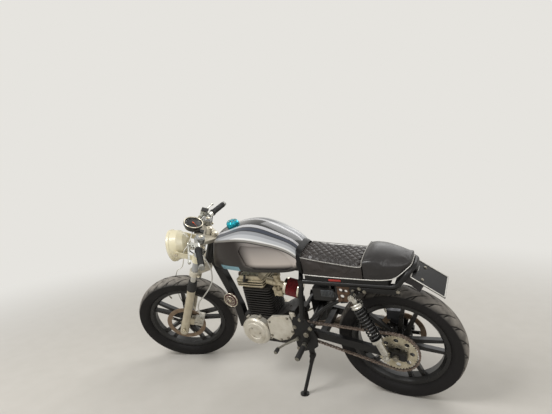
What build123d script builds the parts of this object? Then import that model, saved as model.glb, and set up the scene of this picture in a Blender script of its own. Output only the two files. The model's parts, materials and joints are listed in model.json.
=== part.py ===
from build123d import *
import math
import os

# A cafe racer motorcycle, parked on its side stand with the steering turned left.
# Millimetres. X runs to the rear, Y to the machine's right, Z up.
# It is drawn upright with the rear tyre standing on the origin, then leaned over.
# The wheels set the axles, the swingarm sets the pivot, and the engine hangs ahead of the pivot.
# The steering head follows from the engine, and the rails, tank and seat sit above it.

# Driving dimensions: stance
RAKE = 27.0
TRAIL = 95.0
LEAN = 16.0
STEER = 22.0
FIT_GAP = 0.3
WALL = 2.5

# Wheels and brakes
FRONT_RIM_R = 242.6
FRONT_TYRE_HEIGHT = 83.4
FRONT_TYRE_HALF = 50.0
FRONT_RIM_HALF = 27.0
FRONT_HUB_HALF = 48.0
FRONT_HUB_R = 42.0
REAR_RIM_R = 240.6
REAR_TYRE_HEIGHT = 81.4
REAR_TYRE_HALF = 60.0
REAR_RIM_HALF = 36.0
REAR_HUB_HALF = 74.0
REAR_HUB_R = 52.0
AXLE_R = 9.2
SPOKE_PAIRS = 5
FRONT_DISC_Y = 57.0
FRONT_DISC_R = 126.0
REAR_DISC_Y = 80.0
REAR_DISC_R = 118.0
DISC_THICK = 5.0
DISC_ROOM = 4.0

# Chain drive
CHAIN_Y = 90.0
CHAIN_HALF = 5.5
SPROCKET_R = 101.0
SPROCKET_THICK = 6.0
FRONT_SPROCKET_R = 34.0
TEETH = 40
SPROCKET_HOLES = 8
SPROCKET_HOLE_R = 12.5
LINKS = 52

# Swingarm, engine and frame
ARM_ROOM = 36.0
ARM_Y = 115.0
ARM_HALF = 12.0
PIVOT_RISE = 83.0
PIVOT_R = 9.0
ENGINE_LENGTH = 356.7
CASE_HALF = 76.0
BARREL_HEIGHT = 176.0
FINS = 11
FRONT_ROOM = 81.0
PLATE_Y = 135.0
PLATE_HALF = 4.0
RAIL_Y = 95.0
RAIL_R = 13.0
SHOCK_Y = 148.0
EYE_HALF = 15.0

# Tank, seat and tail
CUSHION_LENGTH = 320.0
HUMP_LENGTH = 216.0
PAN_THICK = 26.0
CAP_R = 34.0

# Steering
FORK_OFFSET = 63.4
FORK_LENGTH = 454.4
LEG_Y = 97.0
LEG_R = 27.0
STANCHION_R = 18.5
HEAD_LENGTH = 186.0
LOWER_LENGTH = 335.4
COLLAR_LENGTH = 66.0
YOKE_LOW_THICK = 32.0
YOKE_TOP_THICK = 24.0
BAR_R = 11.0
BAR_SWEEP = 20.0
GRIP_FROM = 196.0
GRIP_TO = 314.0
MIRROR_THREAD_R = 4.4
LAMP_AHEAD = 180.0

# Side stand
FOOT_AHEAD = 42.0
FOOT_OUT = 240.0
FOOT_R = 24.0

# Stations that follow from the sizes above
FRONT_R = FRONT_RIM_R + FRONT_TYRE_HEIGHT
REAR_R = REAR_RIM_R + REAR_TYRE_HEIGHT
CROSS_BOX = 97.0
PIVOT_X = -(REAR_R + ARM_ROOM + CROSS_BOX)
PIVOT_Z = REAR_R + PIVOT_RISE
OUTPUT_X = PIVOT_X - 130.0
OUTPUT_Z = PIVOT_Z + 5.0
CASE_REAR_X = OUTPUT_X + 49.0
CASE_FRONT_X = CASE_REAR_X - ENGINE_LENGTH
CASE_TOP_Z = OUTPUT_Z + 32.0
BARREL_TOP = CASE_TOP_Z + BARREL_HEIGHT
COVER_TOP = BARREL_TOP + 74.0
TANK_FLOOR_Z = COVER_TOP + 53.0
RAIL_Z = TANK_FLOOR_Z - 41.0
DOWNTUBE_X = CASE_FRONT_X - 45.3
DOWNTUBE_HALF = 25.0
FRONT_AXLE_X = DOWNTUBE_X - DOWNTUBE_HALF - FRONT_ROOM - FRONT_R
WHEELBASE = -FRONT_AXLE_X
HEAD_X = FRONT_AXLE_X - TRAIL
SEAT_FRONT_X = PIVOT_X + 23.0
SEAT_STEP_X = SEAT_FRONT_X + CUSHION_LENGTH
TAIL_X = SEAT_STEP_X + HUMP_LENGTH
RAIL_START_X = PIVOT_X + 19.0
SHOCK_TOP = (PIVOT_X + 287.0, RAIL_Z - 36.0)
SHOCK_LOW = (-38.0, REAR_R + 14.0)
PEG = (PIVOT_X - 23.0, PIVOT_Z - 69.0)
LEVER = (PIVOT_X - 57.0, PIVOT_Z - 33.0)

# Steering stations, measured up the steering axis from the ground
SIN_RAKE = math.sin(math.radians(RAKE))
COS_RAKE = math.cos(math.radians(RAKE))
AXLE_S = TRAIL * SIN_RAKE + FRONT_R * COS_RAKE
YOKE_LOW = AXLE_S + FORK_LENGTH
YOKE_TOP = YOKE_LOW + YOKE_LOW_THICK + HEAD_LENGTH
BAR_S = YOKE_TOP + 42.0
STANCHION_TOP = YOKE_TOP + 60.0
LOWER_TOP = AXLE_S + LOWER_LENGTH
COLLAR_TOP = LOWER_TOP + COLLAR_LENGTH
LEG_X = -FORK_OFFSET

# Places: the steered parts turn about the steering axis
HEAD = Pos(HEAD_X, 0, 0) * Rot(0, RAKE, 0)
STEERED = HEAD * Rot(0, 0, STEER)
TURN = STEERED * Rot(0, -RAKE, 0) * Pos(-HEAD_X, 0, 0)
FRONT_HUB = TURN * Pos(FRONT_AXLE_X, 0, FRONT_R)
REAR_HUB = Pos(0, 0, REAR_R)


def vec(p):
    return p if isinstance(p, Vector) else Vector(*p)


def rod(a, b, r, r2=None):
    # A round bar, or a taper when a second radius is given, from point a to point b.
    plane = Plane(origin=vec(a), z_dir=vec(b) - vec(a))
    length = (vec(b) - vec(a)).length
    if r2 is None:
        return plane * Cylinder(r, length, align=(Align.CENTER, Align.CENTER, Align.MIN))
    return plane * Cone(r, r2, length, align=(Align.CENTER, Align.CENTER, Align.MIN))


def pipe(a, b, r, bore):
    # A round tube with a through bore.
    return rod(a, b, r) - rod(a, b, bore)


def across(x, z, y0, y1, r, r2=None):
    # A round bar across the machine.
    return rod((x, y0, z), (x, y1, z), r, r2)


def bent(points, radius, r):
    # A round bar that follows a line with rounded corners.
    path = FilletPolyline(*points, radius=radius)
    return sweep(Plane(origin=path @ 0, z_dir=path % 0) * Circle(r), path=path)


def cord(points, r):
    # A cable along its route, with each arc as large as its two runs allow.
    radii = []
    for a, b, c in zip(points, points[1:], points[2:]):
        before = vec(b) - vec(a)
        after = vec(c) - vec(b)
        half_turn = math.radians(before.get_angle(after)) / 2
        radii.append(0.45 * min(before.length, after.length) / math.tan(half_turn))
    path = FilletPolyline(*points, radius=radii)
    tube = sweep(Plane(origin=path @ 0, z_dir=path % 0) * Circle(r), path=path)
    print("cord radii", [round(radius) for radius in radii], "length", round(path.length))
    return tube


def block(x0, x1, y0, y1, z0, z1):
    return Pos((x0 + x1) / 2, (y0 + y1) / 2, (z0 + z1) / 2) * Box(abs(x1 - x0), abs(y1 - y0), abs(z1 - z0))


def side_plate(points, y0, y1):
    # A flat shape given by its outline seen from the side.
    face = make_face(Polyline(*[(x, y0, z) for x, z in points], close=True))
    return extrude(face, amount=abs(y1 - y0), dir=(0, 1 if y1 > y0 else -1, 0))


def from_point(origin, offsets):
    # An outline given by its offsets from one point.
    return [(origin[0] + dx, origin[1] + dz) for dx, dz in offsets]


def turned(profile):
    # A ring about the Y axis from a closed outline of (radius, y) points.
    face = make_face(Polyline(*[(r, y, 0) for r, y in profile], close=True))
    return revolve(face, axis=Axis.Y)


def turned_z(profile):
    # A ring about the Z axis from a closed outline of (radius, z) points.
    face = make_face(Polyline(*[(r, 0, z) for r, z in profile], close=True))
    return revolve(face, axis=Axis.Z)


def turned_x(profile):
    # A ring about the X axis from a closed outline of (radius, x) points.
    face = make_face(Polyline(*[(x, 0, r) for r, x in profile], close=True))
    return revolve(face, axis=Axis.X)


def join(first, *others):
    return first.fuse(*others).clean()


def group(shapes):
    # Separate solids that share one piece.
    return Compound([solid for shape in shapes for solid in shape.solids()])


def head_point(s, o, y=0.0):
    # A place by its distance s up the steering axis, o ahead of it and y to the right.
    return (HEAD_X + s * SIN_RAKE - o * COS_RAKE, y, s * COS_RAKE + o * SIN_RAKE)


parts = {}


# Wheels: tyres, cast rims with twin spokes, and discs
RIM_LIP = 5.0


def tyre_outline(rim_r, height, half, rim_half):
    # Side walls that clear the rim's lips, and a tread of four flats whose corners lie on an arc.
    outer_r = rim_r + height
    drop = half * 0.32
    crown_r = (half ** 2 + drop ** 2) / (2 * drop)
    edge = math.asin(half / crown_r)
    tread = []
    for k in range(-2, 3):
        angle = edge * k / 2
        tread.append((outer_r - crown_r * (1 - math.cos(angle)), crown_r * math.sin(angle)))
    wall_rise = height * 0.31
    wall_r = rim_r + wall_rise
    wall_half = half * 0.96
    lip = RIM_LIP + FIT_GAP
    toe = rim_half - (wall_half - rim_half) * lip / (wall_rise - lip)
    return [(rim_r, -toe), (wall_r, -wall_half), *tread, (wall_r, wall_half), (rim_r, toe)]


def wheel(rim_r, rim_half, hub_half, hub_r):
    bed = rim_r - FIT_GAP
    well = rim_r - 27
    inside = rim_half + FIT_GAP
    lip = inside + 3
    rim = turned([
        (well, -rim_half * 0.62), (rim_r - 14, -lip), (rim_r + RIM_LIP, -lip), (rim_r + RIM_LIP, -inside),
        (bed, -inside), (bed, inside), (rim_r + RIM_LIP, inside), (rim_r + RIM_LIP, lip),
        (rim_r - 14, lip), (well, rim_half * 0.62)])
    waist = hub_r * 0.86
    bore = AXLE_R + 1.8
    hub = turned([
        (bore, -hub_half), (hub_r * 0.8, -hub_half), (hub_r, -hub_half + 14), (waist, -hub_half + 26),
        (waist, hub_half - 26), (hub_r, hub_half - 14), (hub_r * 0.8, hub_half), (bore, hub_half)])
    spokes = []
    for pair in range(SPOKE_PAIRS):
        for side in (-1, 1):
            middle = pair * 360.0 / SPOKE_PAIRS
            a0 = math.radians(middle + side * SPOKE_ROOT)
            a1 = math.radians(middle + side * SPOKE_TIP)
            root = Vector(math.cos(a0) * (hub_r - 10), 0, math.sin(a0) * (hub_r - 10))
            tip = Vector(math.cos(a1) * (well + 6), 0, math.sin(a1) * (well + 6))
            along = (tip - root).normalized()
            wide = Vector(-along.Z, 0, along.X)
            corners = [root + wide * 13, tip + wide * 9, tip - wide * 9, root - wide * 13]
            outline = Polyline(*corners, close=True)
            spokes.append(extrude(make_face(outline), amount=SPOKE_HALF, dir=(0, 1, 0), both=True))
    return join(rim, hub, *spokes)


def brake_disc(outer_r, hub_r):
    half = DISC_THICK / 2
    inner_r = outer_r - 28
    band = turned([(inner_r, -half), (outer_r, -half), (outer_r, half), (inner_r, half)])
    centre = turned([(DISC_BORE, -half), (hub_r, -half), (hub_r, half), (DISC_BORE, half)])
    arms = []
    for k in range(5):
        arm = Pos((inner_r + hub_r) / 2, 0, 0) * Box(inner_r - hub_r + 12, DISC_THICK, 20)
        arms.append(Rot(0, k * 72, 0) * arm)
    return join(band, centre, *arms)


SPOKE_ROOT = 20.0
SPOKE_TIP = 9.0
SPOKE_HALF = 12.0
DISC_BORE = 30.0
front_outline = tyre_outline(FRONT_RIM_R, FRONT_TYRE_HEIGHT, FRONT_TYRE_HALF, FRONT_RIM_HALF)
rear_outline = tyre_outline(REAR_RIM_R, REAR_TYRE_HEIGHT, REAR_TYRE_HALF, REAR_RIM_HALF)
parts["front_tyre"] = FRONT_HUB * turned(front_outline)
parts["front_wheel_casting"] = FRONT_HUB * wheel(FRONT_RIM_R, FRONT_RIM_HALF, FRONT_HUB_HALF, FRONT_HUB_R)
parts["front_disc"] = FRONT_HUB * Pos(0, -FRONT_DISC_Y, 0) * brake_disc(FRONT_DISC_R, 44)
parts["rear_tyre"] = REAR_HUB * turned(rear_outline)
parts["rear_wheel_casting"] = REAR_HUB * wheel(REAR_RIM_R, REAR_RIM_HALF, REAR_HUB_HALF, REAR_HUB_R)
parts["rear_disc"] = REAR_HUB * Pos(0, REAR_DISC_Y, 0) * brake_disc(REAR_DISC_R, 46)

# Rear sprocket: teeth round the rim and a ring of round holes
TOOTH = [(-0.30, 6.5), (-0.12, 0.0), (0.12, 0.0), (0.30, 6.5)]
outline = []
for k in range(TEETH):
    for share, drop in TOOTH:
        a = math.radians((k + share) * 360.0 / TEETH)
        outline.append((math.cos(a) * (SPROCKET_R - drop), math.sin(a) * (SPROCKET_R - drop)))
sprocket = side_plate(outline, -SPROCKET_THICK / 2, SPROCKET_THICK / 2)
cuts = [across(0, 0, -SPROCKET_THICK, SPROCKET_THICK, DISC_BORE)]
hole_ring = SPROCKET_R - 29
for k in range(SPROCKET_HOLES):
    a = math.radians(k * 360.0 / SPROCKET_HOLES)
    hole = (math.cos(a) * hole_ring, math.sin(a) * hole_ring)
    cuts.append(across(*hole, -SPROCKET_THICK, SPROCKET_THICK, SPROCKET_HOLE_R))
carrier = pipe((0, SPROCKET_THICK / 2, 0), (0, CHAIN_Y - REAR_HUB_HALF, 0), 40, DISC_BORE)
parts["rear_sprocket"] = REAR_HUB * Pos(0, -CHAIN_Y, 0) * sprocket.cut(*cuts).fuse(carrier)

# Chain: one closed loop round both sprockets, waisted between its pins
BIG_LOOP = SPROCKET_R + 2.0 + CHAIN_HALF
SMALL_LOOP = FRONT_SPROCKET_R + FIT_GAP + CHAIN_HALF
centres = math.hypot(OUTPUT_X, OUTPUT_Z - REAR_R)
aim = math.atan2(OUTPUT_Z - REAR_R, -OUTPUT_X)
tilt = math.asin((BIG_LOOP - SMALL_LOOP) / centres)
straight = centres * math.cos(tilt)
arc_big = BIG_LOOP * (math.pi + 2 * tilt)
arc_small = SMALL_LOOP * (math.pi - 2 * tilt)
loop_length = 2 * straight + arc_big + arc_small


def loop_point(share, offset):
    # A place at a share of the loop's length, moved outwards by the offset: top run first, going forward.
    d = share * loop_length
    if d < straight or straight + arc_small <= d < 2 * straight + arc_small:
        on_top = d < straight
        forward = d / straight if on_top else 1 - (d - straight - arc_small) / straight
        r = BIG_LOOP + (SMALL_LOOP - BIG_LOOP) * forward + offset
        a = aim + (math.pi / 2 - tilt) * (1 if on_top else -1)
    elif d < straight + arc_small:
        forward = 1
        r = SMALL_LOOP + offset
        a = aim + math.pi / 2 - tilt - (d - straight) / SMALL_LOOP
    else:
        forward = 0
        r = BIG_LOOP + offset
        a = aim - math.pi / 2 + tilt - (d - 2 * straight - arc_small) / BIG_LOOP
    return (OUTPUT_X * forward - math.cos(a) * r, REAR_R + (OUTPUT_Z - REAR_R) * forward + math.sin(a) * r)


outer = []
inner = []
for k in range(LINKS * 2):
    waist = 1.4 if k % 2 else 0.0
    outer.append(loop_point(k / (LINKS * 2.0), CHAIN_HALF - waist))
    inner.append(loop_point(k / (LINKS * 2.0), waist - CHAIN_HALF))
chain = side_plate(outer, -7, 7) - side_plate(inner, -8, 8)
parts["drive_chain"] = Pos(0, -CHAIN_Y, 0) * chain

# Swingarm: two box beams, a cross box, the pivot tube and the shock lugs
beam_shape = from_point((PIVOT_X, PIVOT_Z), [(20, -24), (-16, -22), (-20, 20), (10, 24)])
beam_shape += from_point((0, REAR_R), [(40, 20), (52, 8), (52, -14), (38, -20)])
box_rear_x = -(REAR_R + ARM_ROOM)
arm = [across(PIVOT_X, PIVOT_Z, -ARM_Y, ARM_Y, 22)]
arm.append(block(box_rear_x - 34, box_rear_x, -ARM_Y, ARM_Y, PIVOT_Z - 31, PIVOT_Z + 3))
for side in (-1, 1):
    arm.append(side_plate(beam_shape, side * ARM_Y - ARM_HALF, side * ARM_Y + ARM_HALF))
    arm.append(across(*SHOCK_LOW, side * (ARM_Y + 8), side * (SHOCK_Y - EYE_HALF - FIT_GAP), 15))
far = PLATE_Y + 60
axle_bore = across(0, REAR_R, -far, far, AXLE_R + FIT_GAP)
pivot_bore = across(PIVOT_X, PIVOT_Z, -far, far, PIVOT_R)
parts["swingarm"] = join(*arm).cut(axle_bore, pivot_bore)


def bolt(x, z, face, r):
    # A long bolt across the machine with a head and a nut against the faces at plus and minus face.
    ends = [across(x, z, side * (face + FIT_GAP), side * (face + 12), 15) for side in (-1, 1)]
    return join(across(x, z, -face - 4, face + 4, r), *ends)


parts["axle_and_pivot"] = group([
    bolt(0, REAR_R, ARM_Y + ARM_HALF, AXLE_R),
    bolt(PIVOT_X, PIVOT_Z, PLATE_Y + PLATE_HALF, PIVOT_R - FIT_GAP)])

# Main frame: head tube, backbone, downtube, pivot plates, posts and cross tubes
TANK_NOSE_X = HEAD_X + 463.0
TANK_TAIL_X = SEAT_FRONT_X - 20.0
TUBE_TOP_Z = TANK_FLOOR_Z - 7.0
neck = head_point(YOKE_LOW + 117, -24)
spine = [neck, (neck[0] + 82.8, 0, TUBE_TOP_Z), (PIVOT_X - 23, 0, TUBE_TOP_Z - 10)]
down_line = [(neck[0] - 13, neck[2] - 5)]
down_line += from_point((DOWNTUBE_X, OUTPUT_Z), [(-38, 150), (-8, 30), (0, -110)])
down_outline = [(x - DOWNTUBE_HALF, z) for x, z in down_line]
down_outline += [(x + DOWNTUBE_HALF, z) for x, z in reversed(down_line)]
foot_z = OUTPUT_Z - 110
foot_rear_x = CASE_FRONT_X - FIT_GAP
engine_foot = [
    (DOWNTUBE_X - 7, foot_z), (DOWNTUBE_X - 7, foot_z + 52), (foot_rear_x, foot_z + 52),
    (foot_rear_x, foot_z + 16)]
plate_shape = from_point((PIVOT_X, PIVOT_Z), [
    (-65, 95), (3, 95), (31, 57), (57, -15), (51, -75), (27, -95), (-29, -117), (-71, -117), (-75, 65)])
STAND_X = PIVOT_X + 8.0
STAND_Z = PIVOT_Z - 143.0
STAND_PIN = Vector(STAND_X, -PLATE_Y, STAND_Z)
STAND_AXIS = Vector(0.102, -1.0, 0.102).normalized()
STAND_BOLT_R = 6.0
CROSS_TUBES = from_point((PIVOT_X, PIVOT_Z), [(-50, 71), (-50, -99)])
CROSS_R = 12.0
lug_shape = from_point((STAND_X, STAND_Z), [(-17, 68), (17, 68), (15, 0), (-15, 0)])
REST_R = 8.0
rest_z = TANK_FLOOR_Z - REST_R - FIT_GAP
frame = [
    pipe(head_point(YOKE_LOW + YOKE_LOW_THICK + 18, 0), head_point(YOKE_TOP - 5, 0), 27, 20),
    bent(spine, 60, 19),
    side_plate(down_outline, -21, 21),
    side_plate(engine_foot, -16, 16),
    side_plate(lug_shape, -PLATE_Y - PLATE_HALF, -PLATE_Y + PLATE_HALF),
    rod(STAND_PIN - STAND_AXIS * 6, STAND_PIN + STAND_AXIS * 6, 17),
    across(TANK_NOSE_X + 102, rest_z, -46, 46, REST_R),
    across(TANK_TAIL_X - 78, rest_z, -46, 46, REST_R),
]
for x, z in CROSS_TUBES:
    frame.append(across(x, z, -PLATE_Y, PLATE_Y, CROSS_R))
rest_x = RAIL_START_X - FIT_GAP
for side in (-1, 1):
    frame.append(side_plate(plate_shape, side * PLATE_Y - PLATE_HALF, side * PLATE_Y + PLATE_HALF))
    frame.append(bent([
        (PIVOT_X - 23, side * 12, RAIL_Z + 22), (PIVOT_X + 3, side * (RAIL_Y + 1), RAIL_Z - 14),
        (PIVOT_X - 15, side * PLATE_Y, PIVOT_Z + 75)], 28, 13))
    ear_in = side * (RAIL_Y - 7)
    ear_out = side * (RAIL_Y + 9)
    frame.append(block(rest_x - 27, rest_x, ear_in, ear_out, RAIL_Z - 10, RAIL_Z + 10))
head_bore = rod(head_point(YOKE_LOW, 0), head_point(YOKE_TOP + 40, 0), 20)
stand_bore = rod(STAND_PIN - STAND_AXIS * 20, STAND_PIN + STAND_AXIS * 20, STAND_BOLT_R + 0.6)
parts["main_frame"] = join(*frame).cut(head_bore, pivot_bore, stand_bore)

# Seat subframe: a loop of tube behind the seat, cross tubes, drilled gussets and the rear struts
LOOP_BEND = 50.0


def loop_tube(start_x, r):
    half = []
    for x, y, z in ((start_x, RAIL_Y, RAIL_Z), (TAIL_X - 70, RAIL_Y, RAIL_Z),
                    (TAIL_X - 16, RAIL_Y - 11, RAIL_Z + 70), (TAIL_X + 10, RAIL_Y - 61, RAIL_Z + 84)):
        half.append((x, y, z))
    return bent([(x, -y, z) for x, y, z in half] + half[::-1], LOOP_BEND, r)


gusset_shape = from_point(SHOCK_TOP, [
    (-100, 36), (26, 36), (16, -18), (-14, -32), (-46, -72), (-82, -78), (-100, -28)])
GUSSET_HOLES = [(-72, 0, 9.0), (-45, -4, 8.0), (-68, -36, 10.0)]
strut_end_x = PIVOT_X + 30.7
subframe = [loop_tube(RAIL_START_X, RAIL_R)]
CROSS_TUBE_X = PIVOT_X + 155.0
for x in (CROSS_TUBE_X, TAIL_X - 74):
    subframe.append(across(x, RAIL_Z, -RAIL_Y, RAIL_Y, 9))
for side in (-1, 1):
    y = side * RAIL_Y
    subframe.append(side_plate(gusset_shape, y - 3, y + 3))
    subframe.append(across(*SHOCK_TOP, y, side * (SHOCK_Y - EYE_HALF - FIT_GAP), 12))
    subframe.append(bent([
        (SHOCK_TOP[0] - 66, y, SHOCK_TOP[1] - 52), (SHOCK_TOP[0] - 162, y + side * 2, SHOCK_TOP[1] - 108),
        (strut_end_x, side * (PLATE_Y - PLATE_HALF - 9 - FIT_GAP), PIVOT_Z + 78)], 60, 9))
holes = []
for dx, dz, r in GUSSET_HOLES:
    holes.append(across(SHOCK_TOP[0] + dx, SHOCK_TOP[1] + dz, -RAIL_Y - 10, RAIL_Y + 10, r))
parts["seat_subframe"] = join(*subframe).cut(*holes)

# Shock absorbers: eyes, a body, a rod and two spring cups, with a ribbed spring sleeve
EYE_R = 17.0
SPRING_R = 31.0
SPRING_TURNS = 7
SPRING_FROM = 0.16
SPRING_TO = 0.68
bodies = []
springs = []
for side in (-1, 1):
    top = Vector(SHOCK_TOP[0], side * SHOCK_Y, SHOCK_TOP[1])
    low = Vector(SHOCK_LOW[0], side * SHOCK_Y, SHOCK_LOW[1])
    length = (low - top).length
    line = Plane(origin=top, z_dir=low - top)
    spring_top = SPRING_FROM * length
    spring_low = SPRING_TO * length
    stem = turned_z([
        (0.01, 0), (15, 0), (15, 0.10 * length), (30, 0.10 * length), (30, spring_top), (12, spring_top),
        (12, spring_low), (30, spring_low), (30, spring_low + 18), (19, spring_low + 18),
        (19, 0.94 * length), (14, 0.94 * length), (14, length), (0.01, length)])
    eyes = [across(end.X, end.Z, end.Y - EYE_HALF, end.Y + EYE_HALF, EYE_R) for end in (top, low)]
    bodies.append(join(line * stem, *eyes))
    pitch = (spring_low - spring_top - 2 * FIT_GAP) / SPRING_TURNS
    coil = [(22.0, spring_top + FIT_GAP)]
    for k in range(SPRING_TURNS):
        start = spring_top + FIT_GAP + pitch * k
        coil += [(SPRING_R - 6, start), (SPRING_R, start + pitch * 0.32), (SPRING_R, start + pitch * 0.68)]
    coil += [(SPRING_R - 6, spring_low - FIT_GAP), (22.0, spring_low - FIT_GAP)]
    springs.append(line * turned_z(coil))
parts["shock_bodies"] = group(bodies)
parts["shock_springs"] = group(springs)

# Engine: crankcase with its output shaft, finned barrel and head, and round side covers
BARREL_X = CASE_FRONT_X + 136.7
BARREL_LENGTH = 184.0
BARREL_WIDTH = 156.0
FIN_THICK = 4.5
HEAD_HALF = 62.0
HEAD_FIN_LENGTH = 178.0
HEAD_FIN_WIDTH = 148.0
GENERATOR_R = 88.0
CLUTCH_R = 85.0
inlet_from = (CASE_FRONT_X + 180.7, BARREL_TOP + 32)
INLET_Y = -22.0
INLET_FALL = 0.226
case_shape = [(CASE_FRONT_X, OUTPUT_Z - 106), (CASE_FRONT_X, OUTPUT_Z - 38)]
case_shape.append((CASE_FRONT_X + 24.7, CASE_TOP_Z))
case_shape += from_point((OUTPUT_X, OUTPUT_Z), [(-67, 32), (25, 90)])
case_shape += from_point((CASE_REAR_X, OUTPUT_Z), [(0, 86), (0, -80), (-39, -125), (-104, -144)])
case_shape.append((CASE_FRONT_X + 52.7, OUTPUT_Z - 144))
case = [side_plate(case_shape, -CASE_HALF, CASE_HALF)]
case.append(across(OUTPUT_X, OUTPUT_Z, -CASE_HALF + 6, -CHAIN_Y - 4, 14))
case.append(across(OUTPUT_X, OUTPUT_Z, -CHAIN_Y - 3, -CHAIN_Y + 3, FRONT_SPROCKET_R - 1))
case_bores = []
for x, z in CROSS_TUBES:
    case.append(block(OUTPUT_X, x + 18, -24, 24, z - 18, z + 18))
    case_bores.append(across(x, z, -60, 60, CROSS_R + FIT_GAP))
parts["crankcase"] = join(*case).cut(*case_bores)


def fin(z, length, width, corner):
    return Pos(BARREL_X, 0, z) * extrude(RectangleRounded(length, width, corner), amount=FIN_THICK)


barrel_shape = RectangleRounded(BARREL_LENGTH - 32, 120, 18)
barrel = [Pos(BARREL_X, 0, CASE_TOP_Z + FIT_GAP) * extrude(barrel_shape, amount=BARREL_HEIGHT - FIT_GAP)]
fin_pitch = (BARREL_HEIGHT - 20.0) / (FINS - 1)
for k in range(FINS):
    barrel.append(fin(CASE_TOP_Z + 12 + k * fin_pitch, BARREL_LENGTH, BARREL_WIDTH, 26))
parts["cylinder_barrel"] = join(*barrel)

head_floor = BARREL_TOP + FIT_GAP
HEAD_FRONT_X = BARREL_X - 110.0
head_shape = [
    (BARREL_X - 74, head_floor), (BARREL_X - 74, head_floor + 4), (HEAD_FRONT_X, head_floor + 4),
    (HEAD_FRONT_X, COVER_TOP - 28), (HEAD_FRONT_X + 18, COVER_TOP), (HEAD_FRONT_X + 134, COVER_TOP),
    (HEAD_FRONT_X + 158, COVER_TOP - 20), (HEAD_FRONT_X + 158, head_floor + 4),
    (BARREL_X + 40, head_floor + 4), (BARREL_X + 40, head_floor)]


def inlet(x):
    # A place on the sloping line of the inlet tract.
    return (x, INLET_Y, inlet_from[1] - (x - inlet_from[0]) * INLET_FALL)


PORT_R = 19.0
port_end = inlet_from[0] + 51
engine_head = [side_plate(head_shape, -HEAD_HALF, HEAD_HALF)]
for k in range(3):
    engine_head.append(Pos(-31, 0, 0) * fin(BARREL_TOP + 14 + 15 * k, HEAD_FIN_LENGTH, HEAD_FIN_WIDTH, 22))
engine_head.append(rod(inlet(inlet_from[0]), inlet(port_end), PORT_R))
exhaust_port = rod((HEAD_FRONT_X, 30, inlet_from[1]), (HEAD_FRONT_X - 34, 30, inlet_from[1]), 22)
parts["cylinder_head"] = join(*engine_head).cut(exhaust_port)

cover_from = CASE_HALF + FIT_GAP
generator = turned([
    (0.01, cover_from), (GENERATOR_R, cover_from), (GENERATOR_R, 112), (GENERATOR_R - 8, 122),
    (GENERATOR_R - 24, 124), (GENERATOR_R - 28, 128), (42, 130), (38, 126), (0.01, 126)])
clutch = turned([
    (0.01, cover_from), (CLUTCH_R, cover_from), (CLUTCH_R, 104), (CLUTCH_R - 9, 114), (50, 118), (46, 114),
    (0.01, 114)])
cover_in = CHAIN_Y + 10
cover_shape = from_point((OUTPUT_X, OUTPUT_Z), [
    (-113, -80), (-112, 36), (-79, 64), (29, 74), (45, 30), (39, -34), (5, -76), (-55, -96)])
guard_shape = from_point((OUTPUT_X, OUTPUT_Z), [
    (33, 96), (61, 93), (74, 30), (70, -34), (49, -60), (37, -40), (45, 30)])
cover_block_x = OUTPUT_X - 112
sprocket_cover = join(
    side_plate(cover_shape, -cover_in, -cover_in - 16),
    side_plate(guard_shape, -cover_in, -cover_in - 10),
    block(cover_block_x, cover_block_x + 61, -cover_in, -cover_from, OUTPUT_Z - 76, OUTPUT_Z + 30))
timing_x = CASE_FRONT_X + 66.7
parts["engine_covers"] = group([
    Pos(CASE_FRONT_X + 102.7, 0, OUTPUT_Z - 55) * generator.mirror(Plane.XZ),
    sprocket_cover,
    Pos(OUTPUT_X - 103, 0, OUTPUT_Z - 54) * clutch,
    across(timing_x, OUTPUT_Z - 58, cover_from, CASE_HALF + 30, 50)])

# Inlet side: carburettor and pod filter
FILTER_R = 50.0
FILTER_LENGTH = 98.0
carb_end = port_end + 71
carb_x = port_end + 29
carb_z = inlet(carb_x)[2]
parts["carburettor"] = join(
    rod(inlet(port_end + FIT_GAP), inlet(carb_end), PORT_R + 1),
    rod((carb_x, INLET_Y, carb_z - 72), (carb_x, INLET_Y, carb_z + 56), 19),
    rod((carb_x, INLET_Y, carb_z + 48), (carb_x, INLET_Y, carb_z + 56), 23),
    block(carb_x - 24, carb_x + 27, INLET_Y - 24, INLET_Y + 24, carb_z - 66, carb_z - 32),
    across(carb_x - 14, carb_z - 16, INLET_Y - 34, INLET_Y + 34, 9))
filter_tilt = Rot(0, 90 + math.degrees(math.atan(INLET_FALL)), 0)
parts["air_filter"] = Pos(*inlet(carb_end + FIT_GAP)) * filter_tilt * turned_z([
    (0.01, 0), (27, 0), (27, 8), (FILTER_R - 4, 10), (FILTER_R - 4, 20), (FILTER_R, 22),
    (FILTER_R, FILTER_LENGTH - 14), (FILTER_R - 4, FILTER_LENGTH - 12), (FILTER_R - 4, FILTER_LENGTH),
    (0.01, FILTER_LENGTH)])

# Exhaust on the right: header, and a silencer turned as one body
SILENCER_R = 44.0
SILENCER_LENGTH = 314.0
HEADER_R = 19.0
port_z = inlet_from[1]
SILENCER_Z = OUTPUT_Z - 148.0
silencer_at = (PIVOT_X + 35, PLATE_Y + 23, SILENCER_Z)
header = bent([
    (HEAD_FRONT_X - FIT_GAP, 30, port_z), (HEAD_FRONT_X - 42, 30, port_z),
    (HEAD_FRONT_X - 59, 84, port_z - 50), (HEAD_FRONT_X - 49, 122, OUTPUT_Z + 10),
    (HEAD_FRONT_X + 6, PLATE_Y + 7, SILENCER_Z),
    (PIVOT_X - 105, PLATE_Y + 15, SILENCER_Z - 12), silencer_at], 34, HEADER_R)
silencer = Plane(origin=silencer_at, z_dir=(140, 8, 12)) * turned_z([
    (0.01, FIT_GAP), (HEADER_R + 5, FIT_GAP), (SILENCER_R, 50), (SILENCER_R, SILENCER_LENGTH - 22),
    (SILENCER_R - 10, SILENCER_LENGTH), (0.01, SILENCER_LENGTH)])
parts["exhaust"] = group([header, silencer])

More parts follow.
